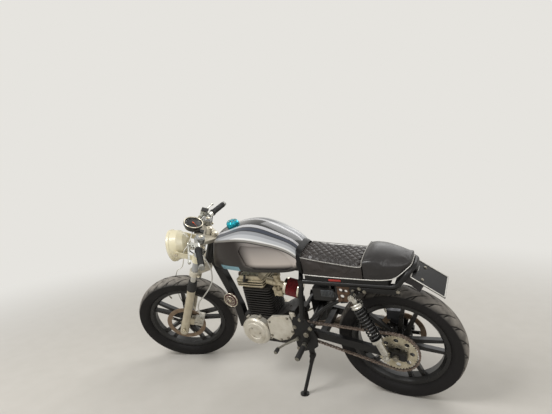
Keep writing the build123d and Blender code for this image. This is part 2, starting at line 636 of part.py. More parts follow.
# Horn on the downtube: a turned shell with a broad rim on a short stem
HORN_R = 47.0
horn_from = 21 + FIT_GAP
parts["horn"] = Pos(DOWNTUBE_X - 14, 0, OUTPUT_Z + 110) * turned([
    (0.01, -horn_from), (7, -horn_from), (7, -44), (30, -44), (34, -56), (HORN_R, -58), (HORN_R, -66),
    (38, -68), (26, -74), (0.01, -74)])

# Fuel tank: seven sections from nose to tail, hollow, with knee recesses and a tunnel for the backbone
RECESS_DEEP = 6.0
CAP_RECESS_R = CAP_R + 2.0
TANK = [
    # share of the length, slope, half widths at floor and ledge, then heights of ledge, crown, floor
    (1.000, 0.34, 58, 84, 155, 183, 0),
    (0.869, 0.12, 82, 118, 191, 219, 0),
    (0.706, 0.00, 96, 136, 210, 234, 0),
    (0.506, 0.00, 102, 140, 217, 254, 0),
    (0.287, 0.00, 98, 126, 193, 228, 0),
    (0.115, 0.00, 86, 106, 156, 182, 3),
    (0.000, 0.00, 74, 92, 107, 128, 21),
]


def tank_section(row, thin=0.0, skin=0.0):
    # One section, narrower by thin at the sides and lower by skin at the top and the floor.
    share, slope, floor_half, wide, ledge, crown, floor = row
    length = TANK_TAIL_X - TANK_NOSE_X - 2 * skin
    x = TANK_TAIL_X - skin - share * length

    def at(y, rise):
        return (x + rise * slope, y, TANK_FLOOR_Z + rise)

    floor += skin
    ledge -= skin
    crown -= skin
    floor_half -= thin
    wide -= thin
    middle = (wide + floor_half) / 2 + 12
    return Wire([
        Line(at(-floor_half, floor), at(floor_half, floor)),
        ThreePointArc(at(floor_half, floor), at(middle, (ledge + floor) / 2), at(wide, ledge)),
        ThreePointArc(at(wide, ledge), at(0, crown), at(-wide, ledge)),
        ThreePointArc(at(-wide, ledge), at(-middle, (ledge + floor) / 2), at(-floor_half, floor)),
    ])


CAP_X = TANK_NOSE_X + 154.0
CAP_Z = TANK_FLOOR_Z + 222.0
outside = Solid.make_loft([tank_section(row) for row in TANK])
recess_line = Solid.make_loft([tank_section(row, RECESS_DEEP) for row in TANK])
inside = Solid.make_loft([tank_section(row, RECESS_DEEP + WALL, WALL) for row in TANK])
knee_shape = from_point((TANK_TAIL_X, TANK_FLOOR_Z), [
    (-308, 145), (-283, 178), (-152, 169), (-83, 146), (-53, 118), (-26, 60), (-28, 34), (-60, 22),
    (-248, 22), (-296, 45)])
knees = side_plate(knee_shape, -200, 200) - recess_line
tunnel_line = [spine[0], spine[1], spine[2], (spine[2][0] + 48, 0, spine[2][2] - 1)]
tunnel = bent(tunnel_line, 60, 25)
neck_wall = rod((CAP_X, 0, CAP_Z - WALL), (CAP_X, 0, CAP_Z + 80), CAP_RECESS_R + WALL)
filler = rod((CAP_X, 0, CAP_Z), (CAP_X, 0, CAP_Z + 80), CAP_RECESS_R)
hollow = inside.cut(bent(tunnel_line, 60, 25 + WALL), neck_wall)
parts["fuel_tank"] = outside.cut(tunnel, filler, *knees.solids(), hollow)
parts["fuel_cap"] = Pos(CAP_X, 0, CAP_Z) * turned_z([
    (0.01, FIT_GAP), (CAP_R - 4, FIT_GAP), (CAP_R, 6), (CAP_R, 30), (CAP_R - 6, 38), (0.01, 40)])

# Seat: base pan, cushion and the smooth tail hump
PAN_Z = RAIL_Z + RAIL_R + FIT_GAP
pan_front = SEAT_FRONT_X + 2
pan_rear = TAIL_X - 94
pan = Pos((pan_front + pan_rear) / 2, 0, PAN_Z) * extrude(
    RectangleRounded(pan_rear - pan_front, 2 * RAIL_Y + 18, 30), amount=PAN_THICK)
parts["seat_base"] = pan - block(SEAT_STEP_X - 38, TAIL_X - 64, -60, 60, PAN_Z - 1, PAN_Z + 14)
SEAT_Z = PAN_Z + PAN_THICK + FIT_GAP


def seat_section(x, half, floor, edge, crown, corner):
    # Straight sides, rounded upper corners and a gently domed top.
    mid = corner * 0.25

    def at(y, rise):
        return (x, y, SEAT_Z + rise)

    return Wire([
        Line(at(-half, floor), at(half, floor)),
        Line(at(half, floor), at(half, edge - corner)),
        ThreePointArc(at(half, edge - corner), at(half - mid, edge - mid), at(half - corner, edge)),
        ThreePointArc(at(half - corner, edge), at(0, crown), at(corner - half, edge)),
        ThreePointArc(at(corner - half, edge), at(mid - half, edge - mid), at(-half, edge - corner)),
        Line(at(-half, edge - corner), at(-half, floor)),
    ])


seat_middle = (SEAT_FRONT_X + SEAT_STEP_X) / 2
parts["seat_cushion"] = Solid.make_loft([
    seat_section(SEAT_FRONT_X, 98, 0, 102, 112, 20),
    seat_section(seat_middle, 108, 0, 82, 92, 20),
    seat_section(SEAT_STEP_X - FIT_GAP, 112, 0, 68, 78, 20)])
hump = Solid.make_loft([
    seat_section(SEAT_STEP_X, 112, 0, 96, 108, 20),
    seat_section(SEAT_STEP_X + 72, 110, 0, 100, 118, 24),
    seat_section(TAIL_X - 74, 98, 4, 86, 104, 22),
    seat_section(TAIL_X, 52, 59, 82, 86, 8)])
under = block(SEAT_STEP_X - 88, TAIL_X - 74, -140, 140, RAIL_Z - 14, SEAT_Z)
parts["seat_hump"] = hump.cut(under, loop_tube(TAIL_X - 124, RAIL_R + 1.2))

# Plate bracket and blank plate
PLATE_SLOPE = 34.4
PLATE_LONG = 174.0
PLATE_WIDE = 180.0
plate_bracket = from_point((TAIL_X, RAIL_Z), [
    (-64.7, 10), (-58, 34), (-32, 42), (-7, 50), (136, -46), (129, -58), (46, -10), (24, -46), (-9, -14),
    (-42, 2)])
parts["plate_bracket"] = side_plate(plate_bracket, -50, 50)
plate_at = Pos(TAIL_X + 64.5, 0, RAIL_Z + 3) * Rot(0, PLATE_SLOPE, 0)
parts["number_plate"] = plate_at * Pos(0, 0, 2) * Box(PLATE_LONG, PLATE_WIDE, 3)

# Inner panels: the box beside the filter, its bridge, and the guard round the rear tyre
GUARD = [(22.8, 60), (32.0, 81), (42.5, 96), (53.0, 104)]
GUARD_THICK = 8.0


def round_tyre(angle, gap):
    a = math.radians(angle)
    return (-math.cos(a) * (REAR_R + gap), REAR_R + math.sin(a) * (REAR_R + gap))


guard_line = [round_tyre(angle, gap) for angle, gap in GUARD]
guard_line += [round_tyre(angle, gap + GUARD_THICK) for angle, gap in reversed(GUARD)]
parts["inner_panels"] = join(
    block(PIVOT_X + 55, CROSS_TUBE_X + 18, -84, -20, RAIL_Z - 116, RAIL_Z - 44),
    block(CROSS_TUBE_X - 6, CROSS_TUBE_X + 6, -84, 84, RAIL_Z - 92, RAIL_Z - 9 - FIT_GAP),
    side_plate(guard_line, -72, 72))

# Fork, drawn with the steering axis upright: X rearwards, Z up the axis
legs = []
tubes = []
for side in (-1, 1):
    y = side * LEG_Y
    leg = Pos(LEG_X, y, 0) * turned_z([
        (0.01, AXLE_S - 48), (20, AXLE_S - 48), (LEG_R, AXLE_S - 34), (LEG_R, AXLE_S + 54),
        (LEG_R - 2, AXLE_S + 62), (LEG_R - 2, LOWER_TOP - 12), (LEG_R, LOWER_TOP - 8), (LEG_R, LOWER_TOP),
        (0.01, LOWER_TOP)])
    legs.append(leg)
    tubes.append(Pos(LEG_X, y, 0) * turned_z([
        (0.01, LOWER_TOP + FIT_GAP), (LEG_R + 2, LOWER_TOP + FIT_GAP), (LEG_R - 2, COLLAR_TOP),
        (STANCHION_R, COLLAR_TOP), (STANCHION_R, STANCHION_TOP), (0.01, STANCHION_TOP)]))
caliper_face = FRONT_DISC_Y + 27.0
axle_end = LEG_Y + LEG_R + 7
parts["fork_lowers"] = STEERED * join(
    *legs,
    rod((LEG_X, -axle_end, AXLE_S), (LEG_X, axle_end, AXLE_S), AXLE_R),
    rod((LEG_X, FRONT_HUB_HALF + 1.5, AXLE_S), (LEG_X, LEG_Y - 20, AXLE_S), 28),
    block(LEG_X + 10, LEG_X + 51, -LEG_Y, -caliper_face - FIT_GAP, AXLE_S + 38, AXLE_S + 86))
parts["stanchions"] = STEERED * group(tubes)


def yoke(low, high, front):
    # A slab with an eye round each leg and one round the steering stem.
    outline = [
        (LEG_X - front, -LEG_Y + 20), (LEG_X - front, LEG_Y - 20), (LEG_X + 8, LEG_Y + 8),
        (26, 22), (26, -22), (LEG_X + 8, -LEG_Y - 8)]
    face = make_face(Polyline(*[(x, y, low) for x, y in outline], close=True))
    eyes = [rod((LEG_X, side * LEG_Y, low), (LEG_X, side * LEG_Y, high), LEG_R + 2) for side in (-1, 1)]
    return join(extrude(face, amount=high - low, dir=(0, 0, 1)), rod((0, 0, low), (0, 0, high), 27), *eyes)


def leg_bore(side, low, high):
    return rod((LEG_X, side * LEG_Y, low), (LEG_X, side * LEG_Y, high), STANCHION_R + FIT_GAP)


YOKE_FACE = YOKE_TOP + YOKE_TOP_THICK
GAUGE_X = LEG_X - 64.6
CLAMP_R = LEG_R
yokes = join(
    yoke(YOKE_LOW, YOKE_LOW + YOKE_LOW_THICK, 22),
    yoke(YOKE_TOP, YOKE_FACE, 18),
    rod((0, 0, YOKE_LOW), (0, 0, YOKE_FACE + 14), 14),
    rod((0, 0, YOKE_FACE), (0, 0, YOKE_FACE + 12), 19),
    rod((-34, 0, YOKE_FACE), (-34, 0, YOKE_FACE + 40), 17),
    block(GAUGE_X + 16, LEG_X + 3, -26, 26, YOKE_FACE - 6, YOKE_FACE))
parts["yokes"] = STEERED * yokes.cut(*[leg_bore(side, YOKE_LOW - 20, YOKE_FACE + 20) for side in (-1, 1)])

# Clip-on bars: a clamp round each stanchion, a swept bar and its end weight
SWEEP_SLOPE = math.tan(math.radians(BAR_SWEEP))


def bar_point(y):
    return (LEG_X - 22.6 + (abs(y) - LEG_Y) * SWEEP_SLOPE, y, BAR_S)


clips = []
grips = []
for side in (-1, 1):
    clamp_from = (LEG_X, side * LEG_Y, YOKE_FACE + 5)
    clamp = join(
        rod(clamp_from, (LEG_X, side * LEG_Y, STANCHION_TOP - 4), CLAMP_R),
        rod(bar_point(side * (LEG_Y - 2)), bar_point(side * (GRIP_TO + 4)), BAR_R),
        rod(bar_point(side * (GRIP_TO + 0.5)), bar_point(side * (GRIP_TO + 16)), 15.5))
    clips.append(clamp.cut(leg_bore(side, YOKE_TOP - 40, STANCHION_TOP + 40)))
    grips.append(pipe(bar_point(side * GRIP_FROM), bar_point(side * GRIP_TO), BAR_R + 6, BAR_R + FIT_GAP))
parts["clip_ons"] = STEERED * group(clips)
parts["grips"] = STEERED * group(grips)

# Hand controls: a perch and lever on each bar, with the brake's cylinder on the right
PERCH_FROM = GRIP_FROM - 44.0
MIRROR_Y = GRIP_FROM - 15.0
controls = []
for side in (-1, 1):
    x = bar_point(PERCH_FROM)[0]
    lever_y = side * (PERCH_FROM + 12)
    pivot_at = (x - 44, side * (PERCH_FROM + 10))
    perch = [
        rod(bar_point(side * PERCH_FROM), bar_point(side * (PERCH_FROM + 30)), BAR_R + 5),
        block(x - 52, x + 8, side * (PERCH_FROM - 2), side * (PERCH_FROM + 22), BAR_S - 9, BAR_S + 9),
        block(x - 29, x + 8, side * (PERCH_FROM + 18), side * (PERCH_FROM + 34), BAR_S - 9, BAR_S + 9),
        rod((x - 19, side * MIRROR_Y, BAR_S - 9), (x - 19, side * MIRROR_Y, BAR_S + 13), 10),
        rod((*pivot_at, BAR_S - 12), (*pivot_at, BAR_S + 12), 9),
        rod((x - 46, lever_y, BAR_S - 3), (x - 10, side * (GRIP_TO - 18), BAR_S - 8), 5.5),
        rod((x - 10, side * (GRIP_TO - 18), BAR_S - 8), (x - 4, side * (GRIP_TO - 10), BAR_S - 8), 8)]
    if side > 0:
        perch.append(rod((x - 36, PERCH_FROM - 2, BAR_S + 4), (x - 44, LEG_Y + 11, BAR_S + 4), 12))
        perch.append(block(x - 48, x - 8, PERCH_FROM - 20, PERCH_FROM + 20, BAR_S + 8, BAR_S + 34))
    mirror_at = (x - 19, side * MIRROR_Y)
    mirror_hole = rod((*mirror_at, BAR_S - 20), (*mirror_at, BAR_S + 20), MIRROR_THREAD_R)
    bar_hole = rod(bar_point(side * (PERCH_FROM - 32)), bar_point(side * (GRIP_FROM + 4)), BAR_R + FIT_GAP)
    controls.append(join(*perch).cut(bar_hole, mirror_hole))
parts["hand_controls"] = STEERED * group(controls)

# Headlight with its ears, lens and the gauge above it
LAMP_S = YOKE_LOW + 122.5
LAMP_R = 95.0
lamp_place = Pos(-LAMP_AHEAD, 0, LAMP_S) * Rot(0, -RAKE, 0)
shell = lamp_place * turned_x([
    (0.01, 50), (34, 50), (62, 34), (84, 4), (LAMP_R - 4, -34), (LAMP_R, -38), (LAMP_R, -52),
    (LAMP_R - 10, -52), (LAMP_R - 17, -34), (0.01, 6)])
lens = turned_x([(0.01, -62), (50, -59), (LAMP_R - 11.2, -52), (LAMP_R - 14.6, -43.5), (0.01, -46)])
ears = []
for side in (-1, 1):
    y = side * (LEG_Y + 1)
    ear = join(
        rod((LEG_X, side * LEG_Y, LAMP_S - 20), (LEG_X, side * LEG_Y, LAMP_S + 20), LEG_R - 1),
        block(-LAMP_AHEAD - 12, LEG_X - 10, y, y + side * 5, LAMP_S - 16, LAMP_S + 16),
        rod((-LAMP_AHEAD, side * 84, LAMP_S), (-LAMP_AHEAD, side * (LEG_Y + 9), LAMP_S), 9))
    ears.append(ear.cut(leg_bore(side, LAMP_S - 60, LAMP_S + 60)))
parts["headlight_shell"] = STEERED * join(shell, *ears)
parts["headlight_lens"] = STEERED * lamp_place * lens
GAUGE_R = 56.0
gauge_z = YOKE_FACE + 6
gauge = Pos(GAUGE_X, 0, gauge_z) * turned_z([
    (0.01, 0), (24, 0), (GAUGE_R - 10, 12), (GAUGE_R - 4, 30), (GAUGE_R, 32), (GAUGE_R, 44),
    (GAUGE_R - 6, 48), (GAUGE_R - 8, 42), (0.01, 42)])
gauge_arm = block(GAUGE_X - 10, LEG_X + 3, -14, 14, YOKE_FACE + FIT_GAP, gauge_z)
parts["gauge"] = STEERED * join(gauge, gauge_arm)

# Front caliper behind the left leg, its hose and the speedometer cable
disc_edge_x = LEG_X + FRONT_DISC_R
disc_edge_s = AXLE_S + FRONT_DISC_R
caliper_in = FRONT_DISC_Y - 21
caliper_x = disc_edge_x - 19
low_s = disc_edge_s - 98
high_s = disc_edge_s - 24
caliper = join(
    block(disc_edge_x - 97, caliper_x, -caliper_face, -caliper_face + 14, low_s, high_s - 6),
    block(disc_edge_x - 73, caliper_x, -caliper_face, -caliper_in, high_s - 18, high_s),
    block(disc_edge_x - 35, caliper_x, -caliper_face, -caliper_in, low_s, high_s),
    block(disc_edge_x - 73, caliper_x, -caliper_in - 8, -caliper_in, low_s, high_s))
disc_slot = DISC_THICK / 2 + DISC_ROOM
disc_room = rod((LEG_X, -FRONT_DISC_Y - disc_slot, AXLE_S), (LEG_X, -FRONT_DISC_Y + disc_slot, AXLE_S),
                FRONT_DISC_R + DISC_ROOM)
parts["front_caliper"] = STEERED * caliper.cut(disc_room)
parts["brake_hose"] = STEERED * cord([
    (20, -77, 438.5), (-16, -80, 536), (34, -72, 664), (48, -64, 742), (24, -62, 836), (-38, -52, 905),
    (-100, 10, 962), (-110, 72, 1000), (-108, 88, 1044), (-109, 104.6, 1052)], 4)
parts["speedo_cable"] = STEERED * cord([
    (-122, -19, 1034), (-124, -66, 978), (-150, -74, 915), (-140, -66, 846), (-146, -44, 784),
    (-158, 6, 726), (-196, 64, 648), (-196, 68, 520), (-140, 66, 398), (-92.5, 62, 345)], 3)

# Foot controls: pegs, gear lever and brake pedal on the pivot plates
foot = []
for side in (-1, 1):
    y = side * (PLATE_Y + PLATE_HALF + FIT_GAP)
    far = side * PLATE_Y
    peg_x, peg_z = PEG
    foot.append(join(
        across(peg_x, peg_z, y, far + side * 23, 14),
        rod((peg_x, far + side * 15, peg_z), (peg_x, far + side * 121, peg_z - 6), 12)))
    lever_x, lever_z = LEVER
    knee = (lever_x - 86, far + side * 17, lever_z - 50)
    toe = (lever_x - 132, far + side * 21, lever_z - 82)
    foot.append(join(
        across(lever_x, lever_z, y, far + side * 19, 9),
        rod((lever_x, far + side * 14, lever_z), knee, 6),
        rod(knee, toe, 6),
        across(toe[0], toe[2], far + side * 15, far + side * 57, 9)))
parts["foot_controls"] = group(foot)

# Rear caliper over the disc, on a bracket that hangs on the axle
edge_z = REAR_R + REAR_DISC_R
bracket_y = REAR_DISC_Y + 17
rear_caliper = join(
    block(-72, 10, REAR_DISC_Y - 18, REAR_DISC_Y + 18, edge_z - 38, edge_z + 18),
    side_plate([(-60, REAR_R - 16), (24, REAR_R - 16), (24, REAR_R + 23), (6, edge_z), (-66, edge_z)],
               bracket_y, ARM_Y - ARM_HALF - FIT_GAP))
rear_room = across(0, REAR_R, REAR_DISC_Y - disc_slot, REAR_DISC_Y + disc_slot, REAR_DISC_R + DISC_ROOM)
parts["rear_caliper"] = rear_caliper.cut(rear_room, across(0, REAR_R, bracket_y - 40, ARM_Y, AXLE_R + 0.8))


# Parked attitude: lean about the wheel line, then a small pitch so that both tyres touch
def moved(place, p):
    return (place * Pos(p[0], p[1], p[2])).position


def lowest(place, hub, outline):
    # The lowest point of a leaning tyre, taken over the corners of its outline.
    centre = moved(place, hub)
    normal = moved(place, (hub[0], 1, hub[2])) - centre
    flat = math.sqrt(1 - normal.Z ** 2)
    return min(centre.Z + y * normal.Z - r * flat for r, y in outline)


PITCH = 0.0
for turn in range(4):
    upright = Rot(0, PITCH, 0) * Rot(LEAN, 0, 0)
    rear_low = lowest(upright, (0, 0, REAR_R), rear_outline)
    front_low = lowest(upright * TURN, (FRONT_AXLE_X, 0, FRONT_R), front_outline)
    PITCH += math.degrees((rear_low - front_low) / WHEELBASE)
GROUND = rear_low
upright = Rot(0, PITCH, 0) * Rot(LEAN, 0, 0)
level = moved(upright.inverse(), (0, 0, 1))

# Side stand: a fork on the plate's lug, the leg and a flat foot
STAND_EYE_R = 16.0
STAND_LEG_R = 10.0
foot_flat = Vector(PIVOT_X - FOOT_AHEAD, -FOOT_OUT, 0)
drop = moved(upright, tuple(foot_flat)).Z - GROUND
sole = foot_flat - level * drop
pad_top = sole + level * 9
out = pad_top - STAND_PIN
down_dir = (out - STAND_AXIS * out.dot(STAND_AXIS)).normalized()
stand = [rod(STAND_PIN - STAND_AXIS * STAND_EYE_R, STAND_PIN + STAND_AXIS * STAND_EYE_R, STAND_BOLT_R)]
for side in (-1, 1):
    cheek = STAND_PIN + STAND_AXIS * (side * 10)
    stand.append(rod(cheek - STAND_AXIS * 3, cheek + STAND_AXIS * 3, STAND_EYE_R))
    stand.append(Plane(origin=cheek + down_dir * 20, z_dir=STAND_AXIS, x_dir=down_dir) * Box(40, 22, 6))
stand.append(Plane(origin=STAND_PIN + down_dir * 36, z_dir=STAND_AXIS, x_dir=down_dir) * Box(16, 22, 26))
stand.append(rod(STAND_PIN + down_dir * 38, pad_top, STAND_LEG_R))
stand.append(rod(sole, pad_top, FOOT_R))
parts["side_stand"] = join(*stand)

# Stand the machine at the origin: centre of its box in plan, ground at zero
boxes = [(upright * shape).bounding_box() for shape in parts.values()]
SHIFT_X = -(min(b.min.X for b in boxes) + max(b.max.X for b in boxes)) / 2
SHIFT_Y = -(min(b.min.Y for b in boxes) + max(b.max.Y for b in boxes)) / 2
PARKED = Pos(SHIFT_X, SHIFT_Y, -GROUND) * upright

os.makedirs("parts", exist_ok=True)
for name, shape in parts.items():
    placed = PARKED * shape
    placed.label = name
    export_step(placed, "parts/" + name + ".step")
print("placing", round(SHIFT_X, 4), round(SHIFT_Y, 4), round(-GROUND, 4), "pitch", round(PITCH, 5))
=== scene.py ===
import bpy
import json
import math
from mathutils import Matrix, Vector


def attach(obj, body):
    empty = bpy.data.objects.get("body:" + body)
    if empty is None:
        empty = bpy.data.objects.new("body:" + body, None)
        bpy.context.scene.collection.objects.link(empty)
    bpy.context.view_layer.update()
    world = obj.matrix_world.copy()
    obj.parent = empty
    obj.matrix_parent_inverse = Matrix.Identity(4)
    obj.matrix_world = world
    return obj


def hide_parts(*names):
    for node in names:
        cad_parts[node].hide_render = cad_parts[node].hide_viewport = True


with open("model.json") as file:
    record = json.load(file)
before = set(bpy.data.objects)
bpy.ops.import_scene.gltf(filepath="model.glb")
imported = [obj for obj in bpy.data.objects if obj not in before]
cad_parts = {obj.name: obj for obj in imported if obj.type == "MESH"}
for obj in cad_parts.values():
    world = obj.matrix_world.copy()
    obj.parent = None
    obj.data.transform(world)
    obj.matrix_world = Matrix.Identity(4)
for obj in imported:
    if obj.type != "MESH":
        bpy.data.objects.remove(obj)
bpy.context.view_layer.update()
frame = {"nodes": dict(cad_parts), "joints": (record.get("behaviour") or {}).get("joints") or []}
nodes = frame["nodes"]
bpy.ops.object.select_all(action="DESELECT")

# The machine's own axes
# The machine leans on its stand with its steering turned, so its pieces are drawn upright, in
# metres from the rear tyre's contact, X to the rear, Y to the right and Z up, and then placed.
RAKE = math.radians(27)
TRAIL = 0.095
WHEELBASE = 1.370
FRONT_R = 0.326
REAR_R = 0.322

joints = {joint["name"]: joint for joint in frame["joints"]}
across = Vector(joints["rear_axle"]["axis"]).normalized()
column = Vector(joints["steering_head"]["axis"]).normalized()
up = Matrix.Rotation(-RAKE, 3, across) @ column
back = across.cross(up).normalized()
machine = Matrix((back, across, up)).transposed().to_4x4()
machine.translation = Vector(joints["rear_axle"]["pos_m"]) - up * REAR_R
wheel_axis = machine.to_3x3().transposed() @ Vector(joints["front_axle"]["axis"])
steer = math.atan2(-wheel_axis.x * math.cos(RAKE) + wheel_axis.z * math.sin(RAKE), wheel_axis.y)
head = machine @ Matrix.Translation((-WHEELBASE - TRAIL, 0, 0)) @ Matrix.Rotation(RAKE, 4, "Y")
head = head @ Matrix.Rotation(steer, 4, "Z")
turned = head @ Matrix.Rotation(-RAKE, 4, "Y")
front_hub = turned @ Matrix.Translation((TRAIL, 0, FRONT_R))
rear_hub = machine @ Matrix.Translation((0, 0, REAR_R))

# Camera, floor and lamps
# A short lens at eye height looks down on the left side from behind, as the photograph does.
# The floor is pale, and three broad lamps and an even sky light the machine softly.
CAMERA_AT = Vector((0.444, -1.758, 1.792))
CAMERA_AIM = Vector((-0.555, 0, 1.081))
CAMERA_ROLL = math.radians(-12.1)
CAMERA_LENS = 27.07
LAMP_AIM = Vector((0, 0, 0.6))
FLOOR_SIZE = 60
FADE_FROM = 1.3
FADE_TO = 4.5
SKY_LIGHT = 0.5
BACKDROP = "e6e4df"
FLOOR = "c9c5bd"
FLOOR_MOTTLE = "d3cfc8"
LAMPS = [
    # name, place, size, watts
    ("key_lamp", (-1.4, -2.6, 3.8), 1.8, 110),
    ("fill_lamp", (2.8, -2.4, 2.6), 2.6, 35),
    ("rim_lamp", (0.6, 3.2, 3.6), 3.2, 60),
]


def linear(code):
    # An sRGB hex colour as linear light.
    shares = [int(code[i:i + 2], 16) / 255 for i in (0, 2, 4)]
    return [c / 12.92 if c <= 0.04045 else ((c + 0.055) / 1.055) ** 2.4 for c in shares] + [1.0]


def add(tree, kind, settings=None, links=None):
    # One shader node with its settings and links. A linked node stands for its first output.
    made = tree.nodes.new("ShaderNode" + kind)
    for key, value in (settings or {}).items():
        if isinstance(key, int) or key in made.inputs:
            made.inputs[key].default_value = value
        else:
            setattr(made, key, value)
    for key, source in (links or {}).items():
        if isinstance(source, bpy.types.Node):
            source = source.outputs[0]
        tree.links.new(source, made.inputs[key])
    return made


def placed(name, data):
    # An object of its own for some data.
    made = bpy.data.objects.new(name, data)
    bpy.context.collection.objects.link(made)
    return made


lens = bpy.data.cameras.new("camera")
lens.lens = CAMERA_LENS
camera = placed("camera", lens)
stance = (CAMERA_AIM - CAMERA_AT).to_track_quat("-Z", "Y").to_matrix().to_4x4()
stance = stance @ Matrix.Rotation(CAMERA_ROLL, 4, "Z")
camera.matrix_world = machine @ Matrix.Translation(CAMERA_AT) @ stance
bpy.context.scene.camera = camera
bpy.context.scene.view_settings.view_transform = "Standard"

bpy.ops.mesh.primitive_plane_add(size=FLOOR_SIZE)
floor = bpy.context.object
floor.name = "floor"
# Concrete, floated smooth: pale and matt in soft blotches, and far off as bright as the backdrop.
paving = bpy.data.materials.new("floor_concrete")
paving.use_nodes = True
tree = paving.node_tree
shader = tree.nodes["Principled BSDF"]
shader.inputs["Roughness"].default_value = 0.9
place = add(tree, "TexCoord").outputs["Object"]
mottle = add(tree, "TexNoise", {"Scale": 9.0, "Detail": 6.0}, {"Vector": place})
tones = {"data_type": "RGBA", 6: linear(FLOOR), 7: linear(FLOOR_MOTTLE)}
tone = add(tree, "Mix", tones, {0: mottle})
tree.links.new(tone.outputs[2], shader.inputs["Base Color"])
away = add(tree, "VectorMath", {"operation": "LENGTH"}, {0: place}).outputs["Value"]
fading = {"interpolation_type": "SMOOTHSTEP", 1: FADE_FROM, 2: FADE_TO}
fade = add(tree, "MapRange", fading, {0: away})
glow = add(tree, "Emission", {"Color": linear(BACKDROP)})
mixed = add(tree, "MixShader", {}, {0: fade, 1: shader, 2: glow})
tree.links.new(mixed.outputs[0], tree.nodes["Material Output"].inputs["Surface"])
floor.data.materials.append(paving)

sky = bpy.data.worlds.new("sky")
bpy.context.scene.world = sky
sky.use_nodes = True
tree = sky.node_tree
background = tree.nodes["Background"]
background.inputs["Color"].default_value = linear(BACKDROP)
rays = add(tree, "LightPath").outputs
seen = rays["Is Camera Ray"]
for kind in ("Is Transmission Ray", "Is Glossy Ray"):
    seen = add(tree, "Math", {"operation": "MAXIMUM"}, {0: seen, 1: rays[kind]})
strength = add(tree, "MapRange", {3: SKY_LIGHT, 4: 1.0}, {0: seen})
tree.links.new(strength.outputs[0], background.inputs["Strength"])

for name, at, size, watts in LAMPS:
    lamp = bpy.data.lights.new(name, "AREA")
    lamp.size = size
    lamp.energy = watts
    lit = placed(name, lamp)
    lit.location = at
    lit.rotation_euler = (LAMP_AIM - Vector(at)).to_track_quat("-Z", "Y").to_euler()

# Frame, swingarm and axles
# Welded steel tube in satin black stove paint, dusty in its corners, with zinc plated nuts on its
# bolts. A flat steel bar is bolted under each rail, and a red marker sits on the seat pan.
BAR_Y = 0.1095
BAR_HALF = 0.0025
PLATE_Y = 0.139
BAR_BOLTS = [(-0.172, 0.677), (-0.140, 0.692), (-0.116, 0.677), (0.044, 0.690)]
PLATE_BOLTS = [(-0.478, 0.490), (-0.430, 0.440), (-0.520, 0.440), (-0.520, 0.300)]
RUST_ZONE = [
    # axis, none at, all at
    ("X", -0.268, -0.255), ("X", -0.188, -0.196), ("Z", 0.596, 0.604), ("Z", 0.692, 0.687),
]
GRAIN_DEEP = 0.0005
SOCKETS = {"colour": "Base Color", "rough": "Roughness", "metal": "Metallic", "coat": "Coat Weight"}


def finish(name, base, patch, rough, metallic=0.0, patch_mm=60.0, spread=0.5, grain_mm=1.2,
           bump=0.15, dirt_and_shade="2a241d", dirt_and_shade_mm=18.0, dirt_and_shade_share=0.5, round_mm=1.2, coat=0.0,
           shine=0.5):
    # Two tones in clouds, dirt and painted shade in the hollows, softened edges and a grain, which
    # is drawn coarser than the real one so that it shows.
    made = bpy.data.materials.new(name)
    made.use_nodes = True
    tree = made.node_tree
    shader = tree.nodes["Principled BSDF"]
    shader.inputs["Metallic"].default_value = metallic
    shader.inputs["Coat Weight"].default_value = coat
    shader.inputs["Specular IOR Level"].default_value = shine
    place = add(tree, "TexCoord").outputs["Object"]
    cloud = add(tree, "TexNoise", {"Scale": 1000 / patch_mm, "Detail": 5.0}, {"Vector": place})
    grain = add(tree, "TexNoise", {"Scale": 1000 / grain_mm, "Detail": 3.0}, {"Vector": place})
    share = add(tree, "MapRange", {1: 0.5 - spread / 2, 2: 0.5 + spread / 2}, {0: cloud})
    tone = add(tree, "Mix", {"data_type": "RGBA", 6: linear(base), 7: linear(patch)},
               {0: share}).outputs[2]
    # Ambient occlusion picks the hollows. A colour paler than the surface lays dust there, and a
    # darker one lays painted shade along with the dirt.
    cavity = add(tree, "AmbientOcclusion", {"samples": 4, "Distance": dirt_and_shade_mm / 1000})
    hollow = add(tree, "MapRange", {1: 0.75, 2: 0.25, 4: dirt_and_shade_share}, {0: cavity.outputs["AO"]})
    grime_and_shade = add(tree, "Mix", {"data_type": "RGBA", 7: linear(dirt_and_shade)}, {0: hollow, 6: tone})
    gloss = add(tree, "MapRange", {1: 0.35, 2: 0.65, 3: rough[0], 4: rough[1]}, {0: cloud})
    edge = add(tree, "Bevel", {"samples": 4, "Radius": round_mm / 1000})
    skin = add(tree, "Bump", {"Strength": bump, "Distance": GRAIN_DEEP},
               {"Height": grain, "Normal": edge})
    tree.links.new(grime_and_shade.outputs[2], shader.inputs["Base Color"])
    tree.links.new(gloss.outputs[0], shader.inputs["Roughness"])
    tree.links.new(skin.outputs[0], shader.inputs["Normal"])
    return made


def paint(material, *names):
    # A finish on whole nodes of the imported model.
    for name in names:
        for slot in nodes[name].material_slots:
            slot.material = material


def mapped(tree, matrix):
    # Object coordinates turned into the frame of one piece.
    into = matrix.inverted()
    settings = {"Location": into.translation, "Rotation": into.to_euler("XYZ")}
    place = add(tree, "TexCoord").outputs["Object"]
    return add(tree, "Mapping", settings, {"Vector": place}).outputs[0]


def over(tree, mask, **values):
    # Lays new colour, gloss or metal over the part of a surface that a mask picks.
    for key, value in values.items():
        socket = tree.nodes["Principled BSDF"].inputs[SOCKETS[key]]
        colour = key == "colour"
        low, high, out = (6, 7, 2) if colour else (2, 3, 0)
        mix = add(tree, "Mix", {"data_type": "RGBA" if colour else "FLOAT"}, {0: mask})
        if socket.links:
            tree.links.new(socket.links[0].from_socket, mix.inputs[low])
        else:
            mix.inputs[low].default_value = socket.default_value
        if isinstance(value, bpy.types.NodeSocket):
            tree.links.new(value, mix.inputs[high])
        else:
            mix.inputs[high].default_value = linear(value) if colour else value
        tree.links.new(mix.outputs[out], socket)


